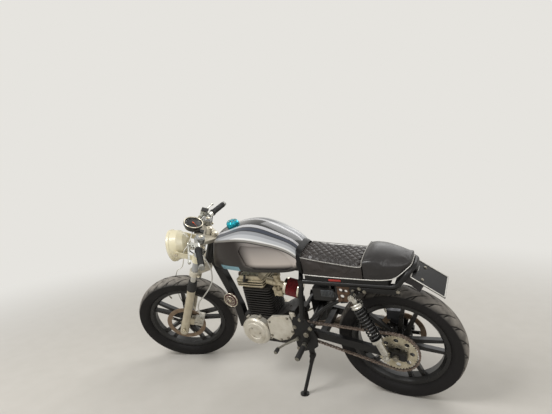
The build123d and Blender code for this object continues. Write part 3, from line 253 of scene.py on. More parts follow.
def within(tree, xyz, limits, mask):
    # A mask cut down to a zone, by limits that each run along an axis from none to all.
    for axis, none_at, all_at in limits:
        inside = add(tree, "MapRange", {1: none_at, 2: all_at}, {0: xyz.outputs[axis]})
        mask = add(tree, "Math", {"operation": "MULTIPLY"}, {0: mask, 1: inside})
    return mask


def shave(width):
    # A rounded chamfer on the sharp edges of the active object.
    cut = bpy.context.object.modifiers.new("chamfer", "BEVEL")
    cut.width = width
    cut.segments = 2
    cut.limit_method = "ANGLE"
    cut.angle_limit = 0.6
    bpy.ops.object.modifier_apply(modifier="chamfer")


def bar(start, end, radius, sides=20, far_radius=None, chamfer=0.0):
    # A round bar or taper between two points, its end edges chamfered.
    start, end = Vector(start), Vector(end)
    far_radius = radius if far_radius is None else far_radius
    turn = (end - start).to_track_quat("Z", "Y").to_euler()
    bpy.ops.mesh.primitive_cone_add(vertices=sides, radius1=radius, radius2=far_radius,
                                    depth=(end - start).length, location=(start + end) / 2,
                                    rotation=turn)
    bpy.ops.object.transform_apply()
    if chamfer:
        shave(chamfer)
    return bpy.context.object


def slab(low, high, chamfer):
    # A rectangular piece between two corners.
    low, high = Vector(low), Vector(high)
    bpy.ops.mesh.primitive_cube_add(size=1, location=(low + high) / 2, scale=high - low)
    bpy.ops.object.transform_apply()
    shave(chamfer)
    return bpy.context.object


def bolt(at, normal, radius, height, washer=True):
    # A hexagon head with chamfered corners on a plain washer.
    at, normal = Vector(at), Vector(normal).normalized()
    made = [bar(at, at + normal * height, radius, 6, chamfer=radius * 0.12)]
    if washer:
        made.append(bar(at - normal * 0.0005, at + normal * height * 0.25, radius * 1.5))
    return made


def joined(pieces):
    # Like pieces made one object.
    bpy.ops.object.select_all(action="DESELECT")
    for made in pieces:
        made.select_set(True)
    bpy.context.view_layer.objects.active = pieces[0]
    if len(pieces) > 1:
        bpy.ops.object.join()
    return bpy.context.object


def settle(name, material, pieces, place=machine, body="frame", angle=0.6, replaces=()):
    # Pieces become one object, placed on the machine, painted, and carried by a body.
    made = joined(pieces)
    made.matrix_world = place
    bpy.ops.object.transform_apply()
    made.name = name
    made.data.materials.clear()
    made.data.materials.append(material)
    bpy.ops.object.shade_smooth_by_angle(angle=angle)
    if replaces:
        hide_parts(*replaces)
    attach(made, body)
    bpy.ops.object.select_all(action="DESELECT")
    return made


# Stove enamel on welded steel: satin black, brown with dust in the corners and rusted round the
# holes of the drilled gussets.
frame_paint = finish("satin_frame_paint", "0c0c0e", "171615", (0.28, 0.45), dirt_and_shade="332b23",
                     shine=0.35)
tree = frame_paint.node_tree
place = mapped(tree, machine)
xyz = add(tree, "SeparateXYZ", {}, {0: place})
rust_cloud = add(tree, "TexNoise", {"Scale": 60.0, "Detail": 5.0}, {"Vector": place})
rusty = add(tree, "MapRange", {1: 0.30, 2: 0.50}, {0: within(tree, xyz, RUST_ZONE, rust_cloud)})
over(tree, rusty, colour="5b4535", rough=0.85)
paint(frame_paint, "main_frame", "seat_subframe", "swingarm", "side_stand", "seat_base")
# Zinc plate on turned steel: a dull grey metal, patchy with age, and darker in its hollows
# with painted shade.
zinc = finish("zinc_plate", "a9a59a", "857f73", (0.25, 0.5), metallic=1.0, patch_mm=20)
paint(zinc, "axle_and_pivot")

bars, bolts, markers = [], [], []
for side in (-1, 1):
    y = side * BAR_Y
    bars.append(slab((-0.186, y - BAR_HALF, 0.672), (0.052, y + BAR_HALF, 0.698), 0.0012))
    for x, z in BAR_BOLTS:
        bolts += bolt((x, side * (BAR_Y + BAR_HALF), z), (0, side, 0), 0.0062, 0.006)
    for x, z in PLATE_BOLTS:
        bolts += bolt((x, side * PLATE_Y, z), (0, side, 0), 0.008, 0.007)
    bolts += bolt((0, side * PLATE_Y, REAR_R), (0, side, 0), 0.013, 0.006, washer=False)
    y = side * 0.1045
    markers.append(slab((-0.292, y - 0.0015, 0.7215), (-0.228, y + 0.0025, 0.7325), 0.001))
settle("rail_bars", frame_paint, bars)
settle("frame_bolts", zinc, bolts)
# Moulded acrylic: an even, slightly faded red, with painted shade in its hollows.
marker = finish("red_marker_plastic", "b3352c", "8c211b", (0.25, 0.4), patch_mm=8)
settle("side_markers", marker, markers)

# Tyres
# Moulded road rubber, round in section, with long curved grooves that run from the crown to each
# shoulder. The flanks are smooth and faintly brown, and dust lies on the tread.
TYRES = [
    # node, body, hub, rim radius, height, half width, half width at the bead, repeats
    ("front_tyre", "front_wheel", front_hub, 0.2426, 0.0834, 0.050, 0.027, 26),
    ("rear_tyre", "rear_wheel", rear_hub, 0.2406, 0.0814, 0.060, 0.036, 24),
]
GROOVE_DEPTH = 0.0048
GROOVE_HALF = 0.0042
SECTOR_STEPS = 32
TREAD_ROWS = 54


def copies(pieces, places):
    # One shape joined from its parts, then set down at each place with its own mesh.
    pattern = joined(pieces)
    made = []
    for place in places:
        mesh = pattern.data.copy()
        mesh.transform(place)
        made.append(placed(pattern.name, mesh))
    bpy.data.objects.remove(pattern)
    return made


def spun(outline, axis, steps, turn=2 * math.pi):
    # A closed outline of points carried round an axis.
    bpy.ops.mesh.primitive_circle_add(vertices=len(outline))
    made = bpy.context.object
    for vertex, point in zip(made.data.vertices, outline):
        vertex.co = point
    bpy.ops.object.mode_set(mode="EDIT")
    bpy.ops.mesh.select_all(action="SELECT")
    bpy.ops.mesh.spin(steps=steps, angle=turn, center=(0, 0, 0), axis=axis)
    bpy.ops.object.mode_set(mode="OBJECT")
    return made


def closed(push=None, weld=0.0, fill=False):
    # The active mesh pushed out, welded or filled until it is shut, its faces turned outward.
    bpy.ops.object.mode_set(mode="EDIT")
    bpy.ops.mesh.select_all(action="SELECT")
    if push:
        bpy.ops.mesh.extrude_region_move(TRANSFORM_OT_translate={"value": push})
        bpy.ops.mesh.select_all(action="SELECT")
    if weld:
        bpy.ops.mesh.remove_doubles(threshold=weld)
    if fill:
        bpy.ops.mesh.fill_holes(sides=0)
    bpy.ops.mesh.normals_make_consistent(inside=False)
    bpy.ops.object.mode_set(mode="OBJECT")


# Moulded rubber: dull black, faintly brown, with grey dust in streaks on the tread's high parts.
rubber = finish("tyre_rubber", "141313", "1c1a1a", (0.55, 0.75), patch_mm=90, grain_mm=2.0,
                bump=0.25, dirt_and_shade="2e2a26", dirt_and_shade_mm=6, dirt_and_shade_share=0.6, round_mm=0.5, shine=0.25)
tree = rubber.node_tree
dust = add(tree, "Attribute", {"attribute_name": "tread"}).outputs["Fac"]
place = add(tree, "TexCoord").outputs["Object"]
streak = add(tree, "TexNoise", {"Scale": 28.0, "Detail": 6.0}, {"Vector": place})
patchy = add(tree, "MapRange", {1: 0.35, 2: 0.62, 3: 0.45, 4: 0.95}, {0: streak})
over(tree, add(tree, "Math", {"operation": "MULTIPLY"}, {0: dust, 1: patchy}), colour="9a948c")

for name, body, hub, rim, height, half, bead, repeats in TYRES:
    outer = rim + height
    drop = half * 0.32
    crown = (half ** 2 + drop ** 2) / (2 * drop)
    edge = math.asin(half / crown)
    wall = rim + height * 0.31
    flank = [(rim, -bead), (rim + 0.0053, -bead), (rim + 0.012, -half * 0.80),
             (wall, -half * 0.945), (wall + height * 0.18, -half * 0.985),
             (rim + height * 0.66, -half)]
    outline = list(flank)
    for k in range(TREAD_ROWS + 1):
        angle = edge * (2 * k / TREAD_ROWS - 1)
        outline.append((outer - crown * (1 - math.cos(angle)), crown * math.sin(angle)))
    outline += [(r, -y) for r, y in reversed(flank)]
    tyre = spun([(r, y, 0) for r, y in outline], (0, 1, 0), SECTOR_STEPS, 2 * math.pi / repeats)
    pitch = 2 * math.pi * outer / repeats
    tread = tyre.data.attributes.new("tread", "FLOAT", "POINT")
    for vertex in tyre.data.vertices:
        x, y, z = vertex.co
        r = math.hypot(x, z)
        if r < rim + height * 0.6:
            continue
        # A long groove sweeps out from the crown, and a short one lies between each two.
        share = abs(y) / half
        along = math.atan2(z, x) * outer + (pitch / 2 if y > 0 else 0)
        sweep = 1.25 * pitch * share ** 0.8
        far = abs((along - sweep + pitch / 2) % pitch - pitch / 2) * 0.62
        rib = abs((along - 0.55 * pitch * share + pitch * 0.1) % pitch - pitch / 2) * 0.8
        cut = max(0.0, 1 - far / GROOVE_HALF) if 0.10 < share < 0.97 else 0.0
        cut = max(cut, 1 - rib / (GROOVE_HALF * 0.8)) if 0.45 < share < 0.9 else cut
        cut = min(1.0, cut * 2.2)
        sink = 1 - GROOVE_DEPTH * cut / r
        vertex.co = (x * sink, y, z * sink)
        tread.data[vertex.index].value = max(0.0, 1.0 - share ** 3) * (1 - cut)
    turns = [Matrix.Rotation(2 * math.pi * k / repeats, 4, "Y") for k in range(repeats)]
    tyre = joined(copies([tyre], turns))
    closed(weld=0.00005)
    settle(name + "_tread", rubber, [tyre], hub, body, 0.7, (name,))

# Wheels
# Cast alloy wheels in satin black paint, with five pairs of spokes, a valve in each rim and
# nuts on the axle ends. Brake dust and road dirt sit in the hub and along the rim's bed.
VALVES = [
    # name, body, hub, radius of the rim's well
    ("front_valve", "front_wheel", front_hub, 0.2145),
    ("rear_valve", "rear_wheel", rear_hub, 0.2125),
]
VALVE_AT = math.radians(108)

# Enamel sprayed on cast alloy: satin black, brown with brake dust in the corners.
paint(finish("wheel_enamel", "0b0b0c", "161514", (0.22, 0.4), dirt_and_shade="3b3025", round_mm=2.0),
      "front_wheel_casting", "rear_wheel_casting")
out = Vector((math.cos(VALVE_AT), 0, math.sin(VALVE_AT)))
for name, body, hub, well in VALVES:
    made = [bar(out * well, out * (well - 0.026), 0.004, 12),
            bar(out * (well - 0.022), out * (well - 0.034), 0.0048, 12, chamfer=0.001)]
    settle(name, zinc, made, hub, body)

# Brake discs and rear sprocket
# Ground iron discs gone rust brown where the pads don't run, on dark carriers with round heads.
# The sprocket is plated steel, bright at the rim and dark round its holes with grime and painted
# shade.
DISCS = [
    # node, body, hub, offset across, outer radius, radius of the hub's bolts, side that shows
    ("front_disc", "front_wheel", front_hub, -0.057, 0.126, 0.036, -1),
    ("rear_disc", "rear_wheel", rear_hub, 0.080, 0.118, 0.038, 1),
]


def ring(count, radius, start=0.0, about="Y"):
    # Places at even steps round an axis.
    made = []
    for k in range(count):
        a = math.radians(start + k * 360 / count)
        u, v = math.cos(a) * radius, math.sin(a) * radius
        made.append(Vector((u, 0, v) if about == "Y" else (u, v, 0)))
    return made


for name, body, hub, y, outer, bolts_at, side in DISCS:
    # Ground cast iron: rust brown, swept by the pads into pale rings, drawn coarser than the real
    # ones so that they show. Its carrier is painted near black. Its hollows are darkened with
    # painted shade.
    iron = finish(name + "_iron", "8a7763", "6b4f38", (0.35, 0.6), metallic=0.45, patch_mm=22,
                  dirt_and_shade="2c221a", round_mm=0.6)
    tree = iron.node_tree
    flat = add(tree, "VectorMath", {"operation": "MULTIPLY", 1: (1, 0, 1)}, {0: mapped(tree, hub)})
    away = add(tree, "VectorMath", {"operation": "LENGTH"}, {0: flat}).outputs["Value"]
    swept = {"noise_dimensions": "1D", "Scale": 900.0, "Detail": 2.0}
    rings = add(tree, "TexNoise", swept, {"W": away})
    over(tree, add(tree, "MapRange", {1: 0.45, 2: 0.75, 4: 0.7}, {0: rings}), colour="a89a87")
    carrier = add(tree, "MapRange", {1: outer - 0.029, 2: outer - 0.031}, {0: away})
    over(tree, carrier, colour="181513")
    paint(iron, name)
    made = []
    for out in ring(5, 1.0):
        at = out * bolts_at + Vector((0, y + side * 0.0025, 0))
        made += bolt(at, (0, side, 0), 0.006, 0.005, washer=False)
        low, high = [out * (outer - 0.034) + Vector((0, y + dy, 0)) for dy in (-0.004, 0.004)]
        made.append(bar(low, high, 0.0055, 16, chamfer=0.001))
    settle(name + "_heads", zinc, made, hub, body)
# Plated steel: pale yellowish metal, black round its holes with chain grease and painted shade.
paint(finish("sprocket_plate", "d6cfba", "a79c82", (0.25, 0.5), metallic=0.75, patch_mm=25,
             dirt_and_shade="1d1814", dirt_and_shade_mm=14, dirt_and_shade_share=0.8), "rear_sprocket")
made = []
for out in ring(8, 0.048, 22.5):
    made += bolt(out + Vector((0, -0.0935, 0)), (0, -1, 0), 0.0055, 0.006)
settle("sprocket_bolts", zinc, made, rear_hub, "rear_wheel")

# Drive chain
# Rusted steel roller chain: pins at even pitch, joined by waisted plates in pairs, inner and outer
# by turns, in one loop round the two sprockets.
PINS = 104
ENGINE_SPROCKET = Vector((-0.585, 0, 0.410))
WHEEL_SPROCKET = Vector((0, 0, REAR_R))
BIG_LOOP = 0.1085
SMALL_LOOP = 0.0398
LINK_Y = -0.090
PLATE_THICK = 0.0014
PLATE_HALF = 0.0052
WAIST = 0.28

gap = (WHEEL_SPROCKET - ENGINE_SPROCKET).length
aim = math.atan2(ENGINE_SPROCKET.z - REAR_R, -ENGINE_SPROCKET.x)
slope = math.asin((BIG_LOOP - SMALL_LOOP) / gap)
run = gap * math.cos(slope)
small_arc = SMALL_LOOP * (math.pi - 2 * slope)
big_arc = BIG_LOOP * (math.pi + 2 * slope)
pitch = (2 * run + small_arc + big_arc) / PINS


def chain_pin(k):
    # The place of one pin: the top run forward, round the small sprocket, and back below.
    d = (k % PINS) * pitch
    top, low = aim + math.pi / 2 - slope, aim - math.pi / 2 + slope
    if d < run:
        share, angle = d / run, top
    elif d < run + small_arc:
        share, angle = 1, top - (d - run) / SMALL_LOOP
    elif d < 2 * run + small_arc:
        share, angle = 1 - (d - run - small_arc) / run, low
    else:
        share, angle = 0, low - (d - 2 * run - small_arc) / BIG_LOOP
    radius = BIG_LOOP + (SMALL_LOOP - BIG_LOOP) * share
    centre = WHEEL_SPROCKET.lerp(ENGINE_SPROCKET, share)
    return centre + Vector((-math.cos(angle) * radius, LINK_Y, math.sin(angle) * radius))


def link(plate_y, pin_half, pin_r):
    # Two waisted plates and a roller or pin, along X from the first pin.
    made = [bar((0, -pin_half, 0), (0, pin_half, 0), pin_r, 10)]
    for y in (-plate_y, plate_y):
        bpy.ops.mesh.primitive_circle_add(vertices=20, fill_type="NGON")
        plate = bpy.context.object
        for vertex in plate.data.vertices:
            a = math.atan2(vertex.co.y, vertex.co.x)
            end = pitch if math.cos(a) > 0 else 0.0
            tall = PLATE_HALF * (1 - WAIST * max(0.0, 1 - abs(math.cos(a)) * 3))
            vertex.co = (end + math.cos(a) * PLATE_HALF, y - PLATE_THICK / 2, math.sin(a) * tall)
        closed(push=(0, PLATE_THICK, 0))
        made.append(plate)
    return made


# Roller chain steel, rusted: dull brown and grey in small patches, black in its gaps with grease
# and painted shade.
rust_steel = finish("rusty_chain_steel", "6b5346", "988f86", (0.4, 0.65), metallic=0.55, patch_mm=9,
                    grain_mm=0.8, bump=0.3, dirt_and_shade="1d140e", dirt_and_shade_mm=5, dirt_and_shade_share=0.8, round_mm=0.3)
places = []
for k in range(PINS):
    first = chain_pin(k)
    ahead = chain_pin(k + 1) - first
    turn = Matrix.Rotation(math.atan2(-ahead.z, ahead.x), 4, "Y")
    places.append(Matrix.Translation(first) @ turn)
links = copies(link(0.0062, 0.0069, 0.0029), places[0::2])
links += copies(link(0.0042, 0.0040, 0.0050), places[1::2])
settle("chain_links", rust_steel, links, replaces=("drive_chain",))

# Shock absorbers
# Twin shocks with black coil springs over a plated stem. Their heads, lower bodies and the two
# round adjuster knobs at the top are polished alloy.
SHOCK_TOP = Vector((-0.168, 0, 0.668))
SHOCK_LOW = Vector((-0.038, 0, 0.336))
SHOCK_Y = 0.148
COIL_FROM = 0.16
COIL_LONG = 0.52
COIL_GAP = 0.0005
COIL_TURNS = 10
COIL_R = 0.0262
WIRE_R = 0.0042
COLLARS = [(0.102, 0.0275), (0.142, 0.0285)]
EYES = [(SHOCK_TOP, 0.0105, 0.009), (SHOCK_LOW, 0.0095, 0.008)]


def loop(centre, normal, radius, thick, turns=48, sides=12):
    # A round ring about a normal.
    turn = Vector(normal).to_track_quat("Z", "Y").to_euler()
    bpy.ops.mesh.primitive_torus_add(location=centre, rotation=turn, major_radius=radius,
                                     minor_radius=thick, major_segments=turns, minor_segments=sides)
    bpy.ops.object.transform_apply()
    return bpy.context.object


def facing(way):
    # The turn that brings Z round to a direction.
    return way.to_track_quat("Z", "Y").to_matrix().to_4x4()


# Alloy buffed by hand: bright, lightly clouded metal with brown dirt and painted shade in its
# steps.
polished = finish("polished_alloy", "dcdad3", "b5b2a9", (0.14, 0.32), metallic=1.0, patch_mm=30,
                  dirt_and_shade="4b4336", dirt_and_shade_mm=10, round_mm=1.0)
# Enamel on wound spring steel: glossy black with dust between the coils.
spring_paint = finish("spring_enamel", "0d0d0e", "1b1a19", (0.15, 0.3), patch_mm=20, dirt_and_shade="4a4036",
                      dirt_and_shade_mm=6, coat=0.3)
# The same alloy on the heads and bodies, and oily dark steel on the stem behind the spring.
stem_finish = polished.copy()
stem_finish.name = "shock_alloy_and_dark_stem"
drop = SHOCK_LOW - SHOCK_TOP
tree = stem_finish.node_tree
fall = add(tree, "VectorMath", {"operation": "SUBTRACT", 1: SHOCK_TOP}, {0: mapped(tree, machine)})
down = {"operation": "DOT_PRODUCT", 1: drop / drop.length_squared}
fall = add(tree, "VectorMath", down, {0: fall})
below = add(tree, "MapRange", {1: 0.158, 2: 0.162}, {0: fall.outputs["Value"]})
above = add(tree, "MapRange", {1: 0.684, 2: 0.680}, {0: fall.outputs["Value"]})
stem = add(tree, "Math", {"operation": "MULTIPLY"}, {0: below, 1: above})
over(tree, stem, colour="1b1a1a", rough=0.4, metal=0.3)
paint(stem_finish, "shock_bodies")

coils, knobs = [], []
for side in (-1, 1):
    shock = Matrix.Translation((SHOCK_TOP.x, side * SHOCK_Y, SHOCK_TOP.z)) @ facing(drop)
    bpy.ops.mesh.primitive_circle_add(vertices=12, radius=WIRE_R, location=(COIL_R, 0, 0),
                                      rotation=(math.pi / 2, 0, 0))
    coil = bpy.context.object
    bpy.ops.object.transform_apply()
    turn = coil.modifiers.new("turns", "SCREW")
    turn.axis = "Z"
    turn.screw_offset = (drop.length * COIL_LONG - 2 * (WIRE_R + COIL_GAP)) / COIL_TURNS
    turn.iterations = COIL_TURNS
    turn.steps = turn.render_steps = 28
    bpy.ops.object.modifier_apply(modifier="turns")
    closed(fill=True)
    start = (0, 0, drop.length * COIL_FROM + WIRE_R + COIL_GAP)
    coil.data.transform(shock @ Matrix.Translation(start))
    coils.append(coil)
    for down, radius in COLLARS:
        knobs.append(loop(shock @ Vector((0, 0, drop.length * down)), drop, radius, 0.0045, 32, 10))
    for eye, radius, height in EYES:
        knobs += bolt((eye.x, side * (SHOCK_Y + 0.015), eye.z), (0, side, 0), radius, height)
settle("coil_springs", spring_paint, coils, angle=0.9, replaces=("shock_springs",))
settle("shock_rings", polished, knobs)

# Engine
# Air cooled, with a black stove enamelled case and finned barrel, a sand cast head in bare
# stained alloy with painted shade between its fins, and cast side covers held by small bolts in
# bosses round their rims.
GENERATOR = Vector((-0.790, 0, 0.355))
CLUTCH = Vector((-0.688, 0, 0.356))
COVERS = [
    # side, centre, radius of the bosses, their count, the first one's angle, their end across
    (-1, GENERATOR, 0.091, 7, 20, 0.098), (1, CLUTCH, 0.088, 9, 10, 0.094),
]
CASE_FACE = 0.0768
SPROCKET_COVER_BOLTS = [(-0.687, 0.345), (-0.686, 0.436), (-0.568, 0.473), (-0.553, 0.388),
                        (-0.586, 0.340), (-0.632, 0.323)]

# Stove enamel on cast iron and alloy: a flat brown black, dusty in the fins.
paint(finish("engine_enamel", "151412", "272320", (0.45, 0.7), dirt_and_shade="4a3e30", dirt_and_shade_mm=12),
      "crankcase", "cylinder_barrel")
# Sand cast alloy, left bare: rough and cream grey, darkened between its fins by stains and
# painted shade.
paint(finish("head_casting", "d9cfb4", "a4967a", (0.45, 0.7), metallic=0.25, patch_mm=26,
             grain_mm=1.8, bump=0.35, dirt_and_shade="1d1712", dirt_and_shade_mm=16, dirt_and_shade_share=0.95), "cylinder_head")
# Die cast alloy, once buffed: a pale dull sheen with brown grime and painted shade along its
# steps.
cover_cast = finish("cover_casting", "dfdbd0", "bdb5a4", (0.3, 0.5), metallic=0.45, patch_mm=45,
                    dirt_and_shade="3d3327", dirt_and_shade_mm=14, dirt_and_shade_share=0.8, round_mm=3.0)
paint(cover_cast, "engine_covers")
bosses, bolts = [], []
for side, centre, radius, count, start, end in COVERS:
    for spot in ring(count, radius, start):
        x, z = centre.x + spot.x, centre.z + spot.z
        bosses.append(bar((x, side * CASE_FACE, z), (x, side * end, z), 0.0085, 16, chamfer=0.0012))
        bolts += bolt((x, side * end, z), (0, side, 0), 0.0052, 0.005, washer=False)
for x, z in SPROCKET_COVER_BOLTS:
    bolts += bolt((x, -0.116, z), (0, -1, 0), 0.0055, 0.0055)
for x in (-0.838, -0.795, -0.742):
    for y in (-0.048, 0.048):
        bolts += bolt((x, y, 0.692), (0, 0, 1), 0.0062, 0.008)
for spot in ring(3, 0.030):
    at = GENERATOR + spot + Vector((0, -0.126, 0))
    bolts += bolt(at, (0, -1, 0), 0.0035, 0.003, washer=False)
settle("cover_bosses", cover_cast, bosses)
settle("engine_bolts", zinc, bolts)
tip = Vector((-0.869, 0, 0.652)) + Vector((-1, 0, 0.12)).normalized() * 0.008
caps = [bar((-0.865, 0, 0.652), tip, 0.020, 28, chamfer=0.002),
        bar((-0.790, 0.018, 0.690), (-0.790, 0.018, 0.700), 0.021, 28, chamfer=0.002),
        bar((-0.790, 0.018, 0.700), (-0.790, 0.018, 0.706), 0.012, 6, chamfer=0.001)]
settle("tappet_caps", cover_cast, caps)
# Moulded rubber and hard plastic: matt black with grey dust in the creases.
black_rubber = finish("moulded_rubber", "141414", "1f1e1d", (0.5, 0.7), patch_mm=25, dirt_and_shade="4b4238",
                      dirt_and_shade_mm=8, round_mm=0.8)
plug = [bar((-0.800, -0.070, 0.668), (-0.800, -0.098, 0.684), 0.0085, chamfer=0.0015),
        bar((-0.800, -0.096, 0.680), (-0.786, -0.098, 0.718), 0.0075, 20, 0.0062, 0.0015)]
settle("plug_cap", black_rubber, plug)

# Carburettor, intake and filter
# A die cast slide carburettor with a round top, a screwed float bowl and an idle screw. The pod
# filter is pleated red gauze, oiled and dusty, between two plated end rings.
CARB = machine @ Matrix.Translation((-0.632, -0.022, 0.632))
INTAKE = machine @ Matrix.Translation((-0.590, -0.022, 0.6224))
INTAKE = INTAKE @ Matrix.Rotation(math.pi / 2 + math.atan(0.226), 4, "Y")
CARB_FITTINGS = [
    # start, end, radius, sides, chamfer
    ((0, 0, 0.050), (0, 0, 0.062), 0.0235, 30, 0.0015),
    ((0, 0, 0.060), (0, 0, 0.070), 0.008, 20, 0.0015),
    ((0, -0.020, -0.014), (0, -0.042, -0.014), 0.0065, 16, 0.001),
    ((0.016, -0.018, -0.006), (0.016, -0.036, -0.002), 0.0045, 12, 0.0008),
    ((0.001, 0, -0.066), (0.001, 0, -0.078), 0.009, 6, 0.001),
]
for dx in (-0.021, 0.024):
    for dy in (-0.021, 0.021):
        CARB_FITTINGS.append(((dx, dy, -0.070), (dx, dy, -0.026), 0.0042, 12, 0.0008))
PLEATS = 44
PLEAT_R = 0.0462
PLEAT_DEEP = 0.0030

# Die cast alloy, bare: yellowish grey, brown round its screws with fuel stains and painted
# shade.
carb_cast = finish("carburettor_alloy", "cfc4ab", "94866c", (0.35, 0.6), metallic=0.5, patch_mm=18,
                   dirt_and_shade="2c241a", dirt_and_shade_mm=10, dirt_and_shade_share=0.9)
paint(carb_cast, "carburettor")
made = [bar(start, end, radius, sides, chamfer=chamfer)
        for start, end, radius, sides, chamfer in CARB_FITTINGS]
settle("carburettor_fittings", carb_cast, made, CARB)
bpy.ops.mesh.primitive_circle_add(vertices=PLEATS * 4, radius=1, fill_type="NOTHING")
gauze = bpy.context.object
for vertex in gauze.data.vertices:
    a = math.atan2(vertex.co.y, vertex.co.x)
    r = PLEAT_R + PLEAT_DEEP * math.cos(a * PLEATS)
    vertex.co = (math.cos(a) * r, math.sin(a) * r, 0.020)
closed(push=(0, 0, 0.066), fill=True)
# Cotton gauze soaked in oil: dark red and matt, with painted shade near black at the foot of
# each pleat.
gauze_cloth = finish("oiled_red_gauze", "7d1216", "4a0a0c", (0.55, 0.8), patch_mm=14, grain_mm=0.7,
                     bump=0.5, dirt_and_shade="1c0505", dirt_and_shade_mm=4, dirt_and_shade_share=0.7, round_mm=0.4)
settle("filter_gauze", gauze_cloth, [gauze], INTAKE, replaces=("air_filter",))
rings = [bar((0, 0, 0.004), (0, 0, 0.021), 0.0495, 48, chamfer=0.003),
         bar((0, 0, 0.085), (0, 0, 0.0975), 0.0495, 48, chamfer=0.004),
         bar((0, 0, 0.0005), (0, 0, 0.008), 0.029, 36, chamfer=0.001),
         loop((0, 0, 0.006), (0, 0, 1), 0.0285, 0.0026)]
# Bright nickel and chromium plate: mirror-like and faintly warm, darkened where it meets other
# parts by dirt and painted shade.
plated = finish("bright_plate", "e8e2d2", "c3baa4", (0.08, 0.22), metallic=1.0, patch_mm=30,
                dirt_and_shade="54483a", dirt_and_shade_mm=7, round_mm=0.8)
settle("filter_rings", plated, rings, INTAKE)

# Exhaust and horn
# Steel header tube, blued and browned by heat, a clamp at each end and a plain silencer with an
# open tail. The horn is a dark red pressed shell with a bright rim round its grille.
TAIL_FROM = Vector((-0.420, 0.158, 0.262))
TAIL_WAY = Vector((140, 8, 12)).normalized()
HORN = machine @ Matrix.Translation((-0.952, 0, 0.520))


def tail(along):
    # A place on the silencer's line.
    return TAIL_FROM + TAIL_WAY * along


# Drawn steel tube that has been hot: a worn grey brown shine in long clouds, with painted shade
# in its hollows.
steel = finish("heated_steel", "8a8176", "5b4a3a", (0.22, 0.45), metallic=0.9, patch_mm=70,
               dirt_and_shade="2c241c", round_mm=1.0)
paint(steel, "exhaust")
made = [loop((-0.868, 0.030, 0.650), (1, 0, 0), 0.0225, 0.004),
        loop(tail(0.006), TAIL_WAY, 0.0245, 0.0035), loop(tail(0.312), TAIL_WAY, 0.021, 0.0025),
        bar(tail(0.150), tail(0.168), 0.0455, 48, chamfer=0.001)]
settle("exhaust_clamps", steel, made)
mouth = bar(tail(0.3135), tail(0.3150), 0.0185, 32, chamfer=0.0003)
settle("silencer_mouth", black_rubber, [mouth])
# Enamel on pressed steel: a deep brown red under a thin gloss.
paint(finish("horn_enamel", "4a0f10", "240a0a", (0.18, 0.35), patch_mm=20, coat=0.3), "horn")
made = [loop((0, -0.066, 0), (0, 1, 0), 0.0445, 0.0030),
        loop((0, -0.0715, 0), (0, 1, 0), 0.030, 0.0016)]
for way in ring(12, 1.0):
    start, end = way * 0.010 - Vector((0, 0.0752, 0)), way * 0.028 - Vector((0, 0.0728, 0))
    made.append(bar(start, end, 0.0012, 8))
made += bolt((0, -0.0745, 0), (0, -1, 0), 0.006, 0.004)
settle("horn_trim", plated, made, HORN)

# Fuel tank
# A pressed steel tank in gloss black with silver and blue bands that follow its shoulders, partly
# paint and partly painted reflections of the sky, a matt stone grey knee panel, and a blue
# anodised filler cap.
TANK_TAIL_X = -0.452
TANK_LONG = 0.550
TANK_FLOOR = 0.745
# Height of the ledge above the floor and half width, each by share of the length from the tail
LEDGE = [(0.0, 0.107), (0.115, 0.156), (0.287, 0.193), (0.506, 0.217), (0.706, 0.210),
         (0.869, 0.191), (1.0, 0.155)]
WIDE = [(0.0, 0.092), (0.115, 0.106), (0.287, 0.126), (0.506, 0.140), (0.706, 0.136),
        (0.869, 0.118), (1.0, 0.084)]
CURVE_SCALE = 4
BANDS_AND_REFLECTIONS = [
    # share of the half width, colour
    (0.00, "08080a"), (0.24, "b9b9bc"), (0.40, "0a0b10"), (0.44, "262e3d"), (0.60, "0b0c10"),
    (0.64, "8e9094"), (0.80, "aeb0b3"), (0.955, "dadad8"),
]
BAND_BLEND = 0.012
STRIP_START = (-0.801, -0.803)
STRIP_LIMITS = [("X", -0.927, -0.925), ("Z", 0.779, 0.777)]
CAP = machine @ Matrix.Translation((-0.848, 0, 0.967))

# Sprayed lacquer on pressed steel: wet black with silver and blue bands, partly paint and partly
# painted reflections of the sky on the shoulders. Under the ledge run a grey strip of painted
# highlight and a dark line of painted shade in the crease, above a flat grey panel.
tank_paint = finish("tank_gloss_paint", "08080a", "0b0b0e", (0.12, 0.2), patch_mm=120, grain_mm=6,
                    bump=0.02, dirt_and_shade="12100e", dirt_and_shade_mm=10, round_mm=1.5, coat=0.5)
tree = tank_paint.node_tree
xyz = add(tree, "SeparateXYZ", {}, {0: mapped(tree, machine)})
x, y, z = xyz.outputs
share = add(tree, "MapRange", {1: TANK_TAIL_X, 2: TANK_TAIL_X - TANK_LONG}, {0: x})
profiles = []
for points in (LEDGE, WIDE):
    curve = add(tree, "FloatCurve", {}, {"Value": share})
    line = curve.mapping.curves[0]
    line.points[0].location = (points[0][0], points[0][1] * CURVE_SCALE)
    line.points[1].location = (points[-1][0], points[-1][1] * CURVE_SCALE)
    for along, value in points[1:-1]:
        line.points.new(along, value * CURVE_SCALE)
    curve.mapping.update()
    profiles.append(add(tree, "Math", {"operation": "MULTIPLY", 1: 1 / CURVE_SCALE}, {0: curve}))
off = add(tree, "Math", {"operation": "ABSOLUTE"}, {0: y})
off_share = add(tree, "Math", {"operation": "DIVIDE"}, {0: off, 1: profiles[1]})
forward = {"interpolation_type": "SMOOTHSTEP", 1: -0.740, 2: -0.900, 4: 0.21}
narrowed = add(tree, "MapRange", forward, {0: x})
band_share = add(tree, "Math", {"operation": "SUBTRACT"}, {0: off_share, 1: narrowed})
